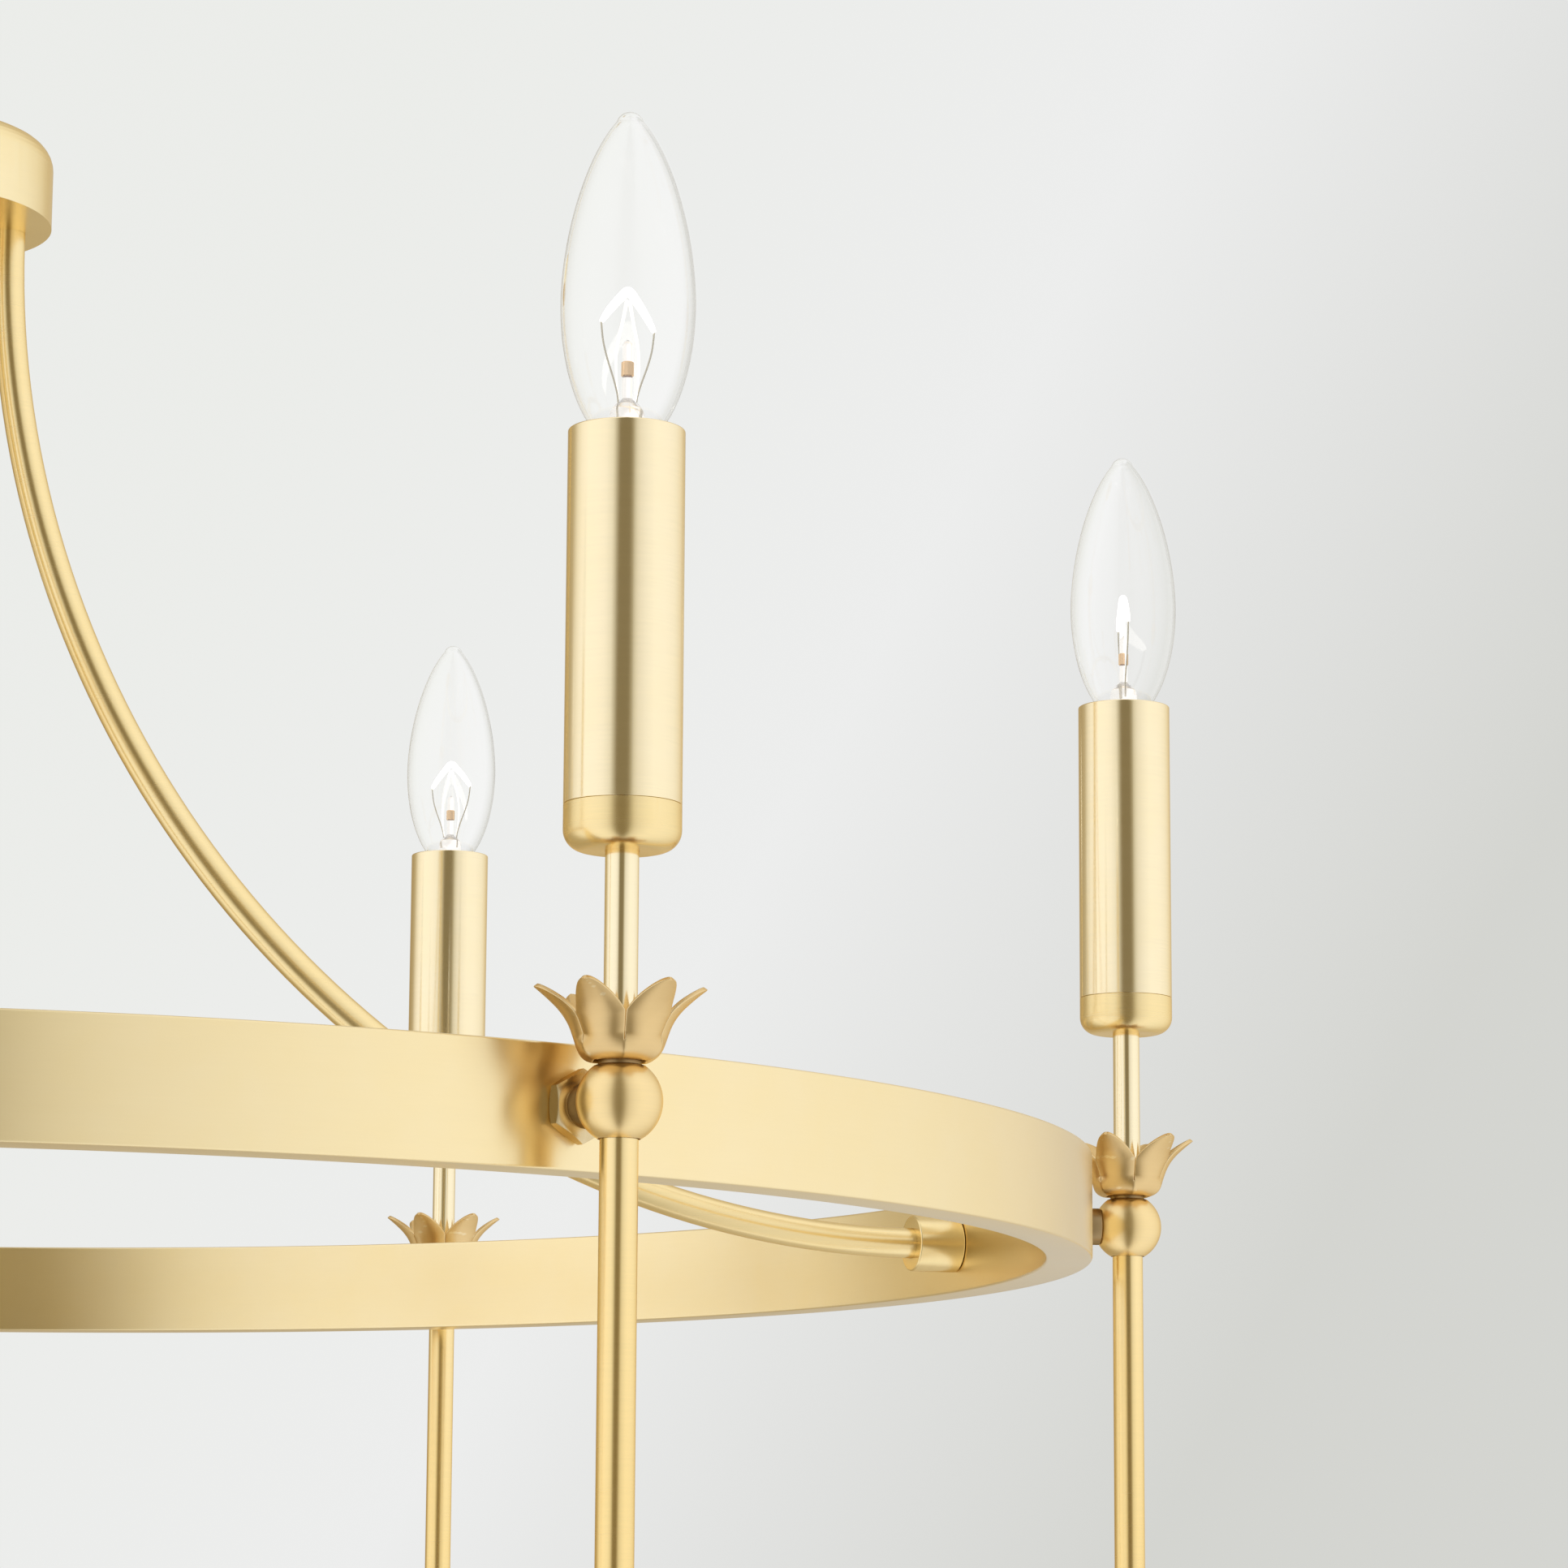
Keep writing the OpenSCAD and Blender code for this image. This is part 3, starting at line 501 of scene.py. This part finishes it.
def build_stems():
    bm = bmesh.new()
    bore = 2.3
    middle_h = (STEM_BOTTOM_H + STEM_TOP_H) / 2
    outline = [
        (bore, middle_h), (bore, STEM_BOTTOM_H), (STEM_R, STEM_BOTTOM_H), (STEM_R, STEM_TOP_H),
        (bore, STEM_TOP_H),
    ]
    add_lathe(bm, outline, around=64)
    at_candles("candle_stem", bm, SLEEVE, "candle_stems")


def build_balls():
    top_r = math.sqrt(BALL_R ** 2 - BALL_TOP_H ** 2)
    groove_r = ROD_R + 0.5
    groove_h = -math.sqrt(BALL_R ** 2 - groove_r ** 2)
    high = math.asin(BALL_TOP_H / BALL_R) - 0.035
    low = math.asin(groove_h / BALL_R)
    steps = 48
    turned = [
        (BALL_R * math.cos(a), BALL_R * math.sin(a))
        for a in (high + (low - high) * i / steps for i in range(steps + 1))
    ]
    profile = [(2.5, 3.4), (STEM_R + 0.05, 3.4), (STEM_R + 0.05, BALL_TOP_H), (top_r - 0.35, BALL_TOP_H)]
    profile += turned
    profile += [(groove_r, groove_h + 0.9), (ROD_R + 0.02, groove_h + 0.9)]
    profile += [(ROD_R + 0.02, -3.4), (2.5, -3.4)]
    bm = bmesh.new()
    add_lathe(bm, profile, around=128)
    parts = bm.verts[:] + bm.edges[:] + bm.faces[:]
    cut = bmesh.ops.bisect_plane(
        bm, geom=parts, plane_co=(-BALL_SIDE * MM, 0, 0), plane_no=(-1, 0, 0), clear_outer=True
    )
    edges = [e for e in cut["geom_cut"] if isinstance(e, bmesh.types.BMEdge)]
    bmesh.ops.contextual_create(bm, geom=edges)
    at_candles("arm_ball", bm, TURNED, "arm_balls")


def along_x(start):
    """A local frame whose Z runs outwards along the arm, from some millimetres off the candle's axis."""
    return Matrix.Translation((start * MM, 0, 0)) @ Matrix.Rotation(math.pi / 2, 4, "Y")


SPACER_L = 5.0
SPACER_START = -BALL_SIDE - 0.05 - SPACER_L
NUT_H = 4.0
NUT_START = SPACER_START - 0.05 - NUT_H


def build_spacers():
    profile = fillets([
        (3.05, SPACER_L / 2), (3.05, 0), (5.5, 0, 0.5), (5.5, SPACER_L, 0.5), (3.05, SPACER_L),
        (3.05, SPACER_L / 2),
    ])[:-1]
    bm = bmesh.new()
    add_lathe(bm, profile, around=64)
    # The spacers take the painted-shade brass, for the shade between ring and ball
    at_candles("spacer", bm, PAINTED_SHADE_BRASS, "arm_spacers", local=along_x(SPACER_START))


def build_nuts():
    """A hexagon whose corners are turned off by a shallow cone at both faces."""
    flat = 7.75
    face_r = 7.45
    slope = math.tan(math.radians(32))
    hole = 3.05
    around = 120
    bm = bmesh.new()
    rings = []
    for i in range(around):
        a = 2 * math.pi * i / around
        side = flat / math.cos(to_flat(a))
        depth = (side - face_r) * slope
        outline = [
            (hole, 0), (face_r, 0), (side, depth), (side, NUT_H - depth), (face_r, NUT_H), (hole, NUT_H),
        ]
        rings.append([
            bm.verts.new((r * MM * math.cos(a), r * MM * math.sin(a), z * MM)) for r, z in outline
        ])
    layer = bm.loops.layers.uv.new("around")
    for i in range(around):
        here, there = rings[i], rings[(i + 1) % around]
        for j in range(len(here)):
            m = (j + 1) % len(here)
            face = bm.faces.new((here[j], there[j], there[m], here[m]))
            for loop, uv in zip(face.loops, ((i, j), (i + 1, j), (i + 1, j + 1), (i, j + 1))):
                loop[layer].uv = (uv[0] / around, uv[1] / len(here))
    # The nuts take the darkened brass, which is painted shade
    at_candles("ring_nut", bm, FIXING_PAINTED_SHADE, "ring_nuts", local=along_x(NUT_START))


def to_flat(a):
    """Angle from the middle of the nearest flat of a hexagon with a corner at angle zero."""
    return a % (math.pi / 3) - math.pi / 6


# The petals' outer outline, height over the ring and radius, from the foot to the tips
PETAL_OUTLINE = [
    (9.1, 6.2), (9.7, 7.8), (10.8, 9.2), (12.4, 10.2), (14.6, 11.0), (17.1, 11.9), (19.2, 13.0),
    (21.4, 14.7), (23.5, 16.9), (25.2, 18.9), (26.2, 20.2),
]
# Up to the first height the petals are one bowl, from there to the second they touch, above it they are free
PETAL_JOINED = 12.6
PETAL_TOUCH = 18.6
PETAL_CUP = 1.7
PETAL_WALL = 1.1
PETALS = 6


def smooth_outline(points, count, crowd=1.0):
    """Catmull-Rom points through an outline; above 1, crowd draws them together towards its end."""
    ends = [points[0]] + points + [points[-1]]
    spans = len(points) - 1
    out = []
    for i in range(count + 1):
        t = min((1 - (1 - i / count) ** crowd) * spans, spans - 1e-9)
        j = int(t)
        f = t - j
        p0, p1, p2, p3 = (Vector(ends[j + m]) for m in range(4))
        square = 2 * p0 - 5 * p1 + 4 * p2 - p3
        cube = 3 * p1 - p0 - 3 * p2 + p3
        out.append(0.5 * (2 * p1 + (p2 - p0) * f + square * f ** 2 + cube * f ** 3))
    return out


def petal_rows(rows, cols):
    """Points of one petal's inner face about +X: each row runs across it, from edge to edge."""
    line = smooth_outline(PETAL_OUTLINE, rows, 1.7)
    run = [0.0]
    for here, there in zip(line, line[1:]):
        run.append(run[-1] + (there - here).length)
    free_from = next(run[i] for i, (h, r) in enumerate(line) if h > PETAL_TOUCH)
    out = []
    for i, (h, r) in enumerate(line):
        before, after = line[max(i - 1, 0)], line[min(i + 1, rows)]
        along = (after - before).normalized()
        up, inward = along.y, along.x
        climb = min(1.0, max(0.0, (h - PETAL_OUTLINE[0][0]) / 5.0))
        cup = PETAL_CUP * climb ** 1.5
        pitch = (r - (cup + PETAL_WALL) * inward) * math.tan(math.pi / PETALS)
        apart = min(1.0, max(0.0, (h - PETAL_JOINED) / 2.0))
        half = pitch - 0.22 * apart
        reach = max(0.0, (run[i] - free_from) / (run[-1] - free_from))
        if reach > 0:
            half = (touch - 0.2 * reach) * max(1 - reach, 0.002) ** 0.54
            cup *= (half / touch) ** 1.4
        else:
            touch = half
        row = []
        for j in range(cols + 1):
            u = math.sin(math.pi / 2 * (2 * j / cols - 1))
            shift = PETAL_WALL + cup * abs(u) ** 2.4
            row.append(((r - inward * shift) * MM, half * u * MM, (h + up * shift) * MM))
        out.append(row)
    return out


def build_crowns():
    rows, cols = 60, 14
    bm = bmesh.new()
    for p in range(PETALS):
        turn = rotation_z(p * 2 * math.pi / PETALS)
        grid = [[bm.verts.new(turn @ Vector(v)) for v in row] for row in petal_rows(rows, cols)]
        for low, high in zip(grid, grid[1:]):
            for j in range(cols):
                bm.faces.new((low[j], low[j + 1], high[j + 1], high[j]))
    seams = [v for v in bm.verts if v.co.z < PETAL_TOUCH * MM]
    bmesh.ops.remove_doubles(bm, verts=seams, dist=0.00002)
    pieces = at_candles("petals", bm, CAST, "petal_crown_{}")
    faces_out = pieces[0].data.polygons[0].normal.x > 0
    for piece in pieces:
        wall = piece.modifiers.new("wall", "SOLIDIFY")
        wall.thickness = PETAL_WALL * MM
        wall.offset = 1 if faces_out else -1
        wall.use_even_offset = False
        round_edges = piece.modifiers.new("round", "SUBSURF")
        round_edges.levels = 1
        round_edges.render_levels = 1
    foot = fillets([
        (STEM_R + 0.05, 9.0), (STEM_R + 0.05, CROWN_BOTTOM_H), (5.1, CROWN_BOTTOM_H, 0.15), (5.1, 9.6),
        (7.0, 10.4, 0.4), (8.2, 12.2, 0.3), (STEM_R + 0.05, 13.6), (STEM_R + 0.05, 9.0),
    ])[:-1]
    bm = bmesh.new()
    add_lathe(bm, foot, around=64)
    # The crown's foot takes the painted-shade brass, for the shade in the gap above the ball
    at_candles("crown_foot", bm, PAINTED_SHADE_BRASS, None)


# ---------------------------------------------------------------- bulbs
BASE_LOW_H, BASE_TOP_H = heights("bulb_base_1")
GLASS_LOW_H, GLASS_TOP_H = heights("bulb_glass_1")
GLASS_R = (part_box("bulb_glass_1")[1].x - CANDLE_R) / MM
GLASS_WALL = 0.8
NECK_R = 5.1
BELLY = 31.0
FOOT = 4.4


def glass_radius(h):
    """Radius of the glass at a height over the sleeve's top."""
    if h < BELLY:
        return GLASS_R * math.sqrt(max(0.0, 1 - ((BELLY - h) / (BELLY + FOOT)) ** 2))
    rise = (h - BELLY) / (GLASS_TOP_H - SLEEVE_TOP_H - BELLY)
    return GLASS_R * max(0.0, 1 - rise ** 1.8) ** 0.67


TIP_R = 3.4


def build_glass():
    """A blown shell: the outer outline with a round tip, and the same outline set in by the wall."""
    tip = GLASS_TOP_H - SLEEVE_TOP_H
    steps = 100
    outer = []
    for i in range(steps + 1):
        h = -2.4 + (tip + 2.4) * (1 - (1 - i / steps) ** 2)
        under = tip - h
        cap = math.sqrt(max(0.0, TIP_R ** 2 - (TIP_R - under) ** 2)) if under < TIP_R else 0.0
        r = max(glass_radius(h), cap) if i < steps else 0.0
        if r > NECK_R or h > BELLY:
            outer.append((r, SLEEVE_TOP_H + h))
    inner = []
    for i, (r, h) in enumerate(outer):
        ahead = Vector(outer[min(i + 1, len(outer) - 1)]) - Vector(outer[max(i - 1, 0)])
        ahead.normalize()
        inner.append((max(0.02, r - GLASS_WALL * ahead.y), h + GLASS_WALL * ahead.x))
    inner[-1] = (0.0, outer[-1][1] - GLASS_WALL)
    neck = [(NECK_R - GLASS_WALL, GLASS_LOW_H), (NECK_R, GLASS_LOW_H), (NECK_R, BASE_TOP_H)]
    bm = bmesh.new()
    add_lathe(bm, neck + outer + inner[::-1] + [(NECK_R - GLASS_WALL, BASE_TOP_H)], around=128)
    at_candles("bulb_glass", bm, GLASS, "bulb_glass_{}", body="bulb_{}")


def build_glass_stem():
    up = SLEEVE_TOP_H
    press = fillets([
        (0, up - 2.3), (4.0, up - 2.3, 0.6), (4.15, up + 4.5, 2.0), (2.9, up + 6.4, 1.2),
        (1.25, up + 7.8, 0.6), (1.2, up + 21.4, 0.9), (0, up + 22.4),
    ], steps=8)
    bm = bmesh.new()
    add_lathe(bm, press, around=64)
    at_candles("stem_press", bm, STEM_GLASS, None, body="bulb_{}")
    band = [(1.22, up + 13.3), (1.5, up + 13.5), (1.5, up + 16.7), (1.22, up + 16.9)]
    bm = bmesh.new()
    add_lathe(bm, fillets(band), around=48)
    at_candles("stem_band", bm, COPPER, None, body="bulb_{}")


def wire_path(points):
    """A path in metres through points (x, height over the sleeve's top) in the plane of the filament."""
    return [Vector((x * MM, 0, (SLEEVE_TOP_H + h) * MM)) for x, h in points]


def build_filaments():
    """Two leads flare out of the glass stem and carry an inverted V of filament over a slim loop."""
    turn = Matrix.Rotation(math.radians(90), 4, "Z")
    bm = bmesh.new()
    for side in (-1, 1):
        lead = [(2.2, 3.0), (2.6, 6.5), (3.0, 9.0), (4.2, 12.5), (6.0, 17.0), (7.2, 21.0), (7.8, 25.5)]
        line = smooth_outline(lead, 24)
        add_sweep(bm, wire_path([(side * x, h) for x, h in line]), 0.22, around=10)
    at_candles("lead_wires", bm, LEAD_WIRE, None, body="bulb_{}", local=turn)
    bm = bmesh.new()
    arch = [(7.8, 25.5), (5.6, 28.6), (2.6, 32.0), (0.0, 34.2), (-2.6, 32.0), (-5.6, 28.6), (-7.8, 25.5)]
    coil = smooth_outline(arch, 60)
    add_sweep(bm, wire_path(coil), lambda t: 0.35 + 0.75 * math.sin(math.pi * t) ** 0.5, around=16)
    at_candles("filament", bm, FILAMENT, None, body="bulb_{}", local=turn)
    # A slim support loop under the filament, given a painted glow
    bm = bmesh.new()
    for side in (-1, 1):
        strand = [(0.4, 32.0), (1.6, 26.5), (2.9, 21.5), (3.4, 16.5), (3.1, 11.5), (2.5, 7.5)]
        loop = smooth_outline(strand, 30)
        add_sweep(bm, wire_path([(side * x, h) for x, h in loop]), lambda t: 0.42 - 0.28 * t, around=10)
    at_candles("support_loop_painted_glow", bm, SUPPORT_GLOW, None, body="bulb_{}", local=turn)


def build_bases():
    crest = 5.9
    taper = 2.5
    turns = 4
    steps = 48
    start, end = BASE_LOW_H + taper, BASE_TOP_H - 3.0
    outline = [(0, BASE_LOW_H), (2.4, BASE_LOW_H, 0.3), (crest - 0.3, start)]
    outline += [
        (
            crest - 0.2 + 0.2 * math.sin(2 * math.pi * turns * i / steps),
            start + (end - start) * (i + 1) / (steps + 1),
        )
        for i in range(steps)
    ]
    outline += [(crest, BASE_TOP_H, 0.15), (crest - 0.5, BASE_TOP_H)]
    outline += [(crest - 0.5, start + 2), (0, start + 2)]
    bm = bmesh.new()
    add_lathe(bm, fillets(outline), around=96)
    at_candles("bulb_base", bm, NICKEL, "bulb_base_{}", body="bulb_lift_{}")


# ---------------------------------------------------------------- ring and arms
def build_ring():
    half = (RING_HIGH.z - RING_LOW.z) / 2 / MM
    outer = RING_R / MM - 0.05
    inner = outer - 13.4
    edge = 0.7
    profile = fillets([
        (inner, 0), (inner, -half, edge), (outer, -half, edge), (outer, half, edge), (inner, half, edge),
        (inner, 0),
    ], steps=5)[:-1]
    bm = bmesh.new()
    add_lathe(bm, profile, around=480)
    mesh = shared_mesh("ring_bar", bm, RING)
    put("ring_bar", mesh, Matrix.Translation((0, 0, RING_Z)), "fixture", "ring")


ARM_DROP = 0.120


def build_rods():
    low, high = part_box("arm_rod_1")
    level = low.z + ROD_R * MM - RING_Z
    bend = -ARM_DROP - level
    path = [Vector((0, 0, high.z - RING_Z)), Vector((0, 0, (high.z - RING_Z - ARM_DROP) / 2))]
    path += arc_points(Vector((-bend, 0, -ARM_DROP)), Vector((bend, 0, 0)), Vector((0, 0, -bend)), 72)
    path.append(Vector((low.x - CANDLE_R, 0, level)))
    bm = bmesh.new()
    add_sweep(bm, path, ROD_R, around=48)
    at_candles("arm_rod", bm, ROD, "arm_rod_{}")


INNER_OFFSET = math.radians(12.9)
HUB_CIRCLE = 0.030
INNER_STRAIGHT = 0.018


def build_inner_arms():
    low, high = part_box("inner_arm_1")
    r = RING_Z - low.z
    ring_inner = RING_R - 0.0135
    bend = ring_inner - INNER_STRAIGHT - HUB_CIRCLE
    collar_r = 0.00875
    end = math.sqrt(ring_inner ** 2 - collar_r ** 2) - 0.00005
    turn_x = HUB_CIRCLE + bend
    path = [Vector((end, 0, 0))]
    path += arc_points(Vector((turn_x, 0, bend)), Vector((0, 0, -bend)), Vector((-bend, 0, 0)), 72)
    path.append(Vector((HUB_CIRCLE, 0, high.z - RING_Z)))
    bm = bmesh.new()
    add_sweep(bm, path, r / MM, around=48)
    rods = shared_mesh("inner_arm", bm, SATIN)
    length = 15.0
    profile = fillets([
        (r / MM + 0.05, length / 2), (r / MM + 0.05, 0), (collar_r / MM, 0, 0.5),
        (collar_r / MM, length, 0.5), (r / MM + 0.05, length), (r / MM + 0.05, length / 2),
    ])[:-1]
    bm = bmesh.new()
    add_lathe(bm, profile, around=96)
    collars = shared_mesh("collar", bm, SATIN)
    for k in INNER_ARMS:
        place = rotation_z(INNER_OFFSET + (k - 1) * INNER_STEP) @ Matrix.Translation((0, 0, RING_Z))
        put(f"inner_rod_{k}", rods, place, "fixture", f"inner_arm_{k}")
        local = Matrix.Translation((end - length * MM, 0, 0)) @ Matrix.Rotation(math.pi / 2, 4, "Y")
        put(f"collar_{k}", collars, place @ local, "fixture", "inner_collars")


# ---------------------------------------------------------------- the other CAD pieces
FINISHES = {
    "mounting_strap": STEEL,
    "canopy_nipple": STEEL,
    "nipple_nuts": STEEL,
    "canopy": SATIN_CAD,
    "swivel_cap": SATIN_CAD,
    "swivel_housing": SATIN_CAD,
    "swivel_seat": NYLON,
    "swivel_ball": STEEL,
    "rod_couplings": SATIN_CAD,
    "downrod": SATIN_CAD,
    "top_hub": SATIN_CAD,
    "centre_column": SATIN_CAD,
    "bottom_hub": SATIN_CAD,
    "bottom_cover": SATIN_CAD,
    "finial": SATIN_CAD,
    "main_lead": JACKET,
    "ring_studs": STEEL,
    "arm_wires": JACKET,
    "socket_bodies": SOCKET,
    "socket_shells": NICKEL,
}


def finish_cad_pieces():
    for name, piece in NODES.items():
        piece.data.materials.clear()
        piece.data.materials.append(FINISHES.get(name, SATIN_CAD))


# ---------------------------------------------------------------- room and light
def build_floor():
    """A wide pale disc at a room's depth below the ceiling, open to reflected rays and from underneath."""
    bm = bmesh.new()
    turns = [math.pi * i / 32 for i in range(64)]
    rim = [bm.verts.new((40 * math.cos(a), 40 * math.sin(a), -2.6)) for a in turns]
    bm.faces.new(rim)
    mesh = bpy.data.meshes.new("floor")
    bm.to_mesh(mesh)
    bm.free()
    floor = bpy.data.objects.new("floor", mesh)
    bpy.context.scene.collection.objects.link(floor)
    material, n, shader = new_material("pale_floor")
    place = n.add("ShaderNodeTexCoord").outputs["Object"]
    n.put(shader.inputs["Base Color"], n.mix(n.noise(place, 0.5), (0.83, 0.83, 0.82), (0.86, 0.86, 0.85)))
    shader.inputs["Roughness"].default_value = 0.9
    mirrored = n.add("ShaderNodeLightPath").outputs["Is Glossy Ray"]
    under = n.add("ShaderNodeNewGeometry").outputs["Backfacing"]
    clear = n.add("ShaderNodeBsdfTransparent").outputs["BSDF"]
    passing = n.math("MAXIMUM", mirrored, under)
    either = n.add("ShaderNodeMixShader", {0: passing, 1: shader.outputs["BSDF"], 2: clear})
    n.put(n.tree.nodes["Material Output"].inputs["Surface"], either.outputs["Shader"])
    mesh.materials.append(material)


# Light of the room against the angle in degrees from straight behind the camera, leftwards below zero
ROOM = [
    (-180, (0.60, 0.57, 0.51)), (-165, (0.50, 0.44, 0.34)), (-145, (0.42, 0.36, 0.25)),
    (-124, (0.52, 0.46, 0.34)), (-108, (0.86, 0.83, 0.76)), (-96, (0.99, 0.98, 0.95)),
    (-78, (1.08, 1.07, 1.05)), (-55, (1.05, 1.05, 1.04)), (-38, (1.00, 1.00, 0.99)),
    (-24, (0.85, 0.84, 0.80)), (-17, (0.52, 0.49, 0.41)), (-11, (0.24, 0.20, 0.12)),
    (10, (0.24, 0.20, 0.12)), (15, (0.36, 0.32, 0.22)), (22, (0.72, 0.70, 0.63)),
    (30, (0.85, 0.84, 0.81)), (45, (0.96, 0.96, 0.94)), (63, (1.05, 1.05, 1.03)),
    (90, (1.03, 1.03, 1.02)), (116, (0.97, 0.97, 0.95)), (138, (0.86, 0.84, 0.80)),
    (155, (0.68, 0.64, 0.57)), (180, (0.63, 0.61, 0.57)),
]


def build_world():
    """Pale walls with a dark gap behind the camera, which the brass mirrors, and a plain backdrop."""
    world = bpy.data.worlds.new("room")
    bpy.context.scene.world = world
    world.use_nodes = True
    tree = world.node_tree
    n = Nodes(tree)
    direction = n.add("ShaderNodeTexCoord").outputs["Generated"]
    flat = n.add("ShaderNodeVectorMath", {0: direction, 1: (1, 1, 0)}, operation="MULTIPLY").outputs[0]
    flat = n.add("ShaderNodeVectorMath", {0: flat}, operation="NORMALIZE").outputs[0]
    back = (-math.cos(CAMERA_HEADING), -math.sin(CAMERA_HEADING), 0)
    right = (math.sin(CAMERA_HEADING), -math.cos(CAMERA_HEADING), 0)
    cosine = n.add("ShaderNodeVectorMath", {0: flat, 1: back}, operation="DOT_PRODUCT").outputs["Value"]
    sine = n.add("ShaderNodeVectorMath", {0: flat, 1: right}, operation="DOT_PRODUCT").outputs["Value"]
    angle = n.math("DIVIDE", n.math("ARCTAN2", sine, cosine), 2 * math.pi)
    walls = n.ramp(n.math("ADD", angle, 0.5), [(degrees / 360 + 0.5, value) for degrees, value in ROOM])
    slant = n.add("ShaderNodeVectorMath", {0: direction, 1: right}, operation="DOT_PRODUCT").outputs["Value"]
    drop = n.add("ShaderNodeSeparateXYZ", {0: direction}).outputs["Z"]
    shade = n.math("SUBTRACT", slant, n.math("MULTIPLY", drop, 0.55))
    shade = n.math("MULTIPLY_ADD", shade, 3.2, clamp=True)
    shade.node.inputs[2].default_value = 0.79
    backdrop = n.ramp(shade, [
        (0.0, (0.835, 0.845, 0.82)), (0.5, (0.845, 0.85, 0.845)),
        (0.75, (0.75, 0.755, 0.74)), (1.0, (0.66, 0.665, 0.635)),
    ])
    path = n.add("ShaderNodeLightPath")
    seen = n.math("MAXIMUM", path.outputs["Is Camera Ray"], path.outputs["Is Transmission Ray"])
    background = tree.nodes["Background"]
    n.put(background.inputs["Color"], n.mix(seen, walls, backdrop))
    background.inputs["Strength"].default_value = 1.0


finish_cad_pieces()
build_ring()
build_rods()
build_inner_arms()
build_nuts()
build_spacers()
build_balls()
build_crowns()
build_stems()
build_cups()
build_sleeves()
build_bases()
build_glass()
build_glass_stem()
build_filaments()
build_floor()
build_world()
bpy.context.scene.view_settings.view_transform = "Standard"
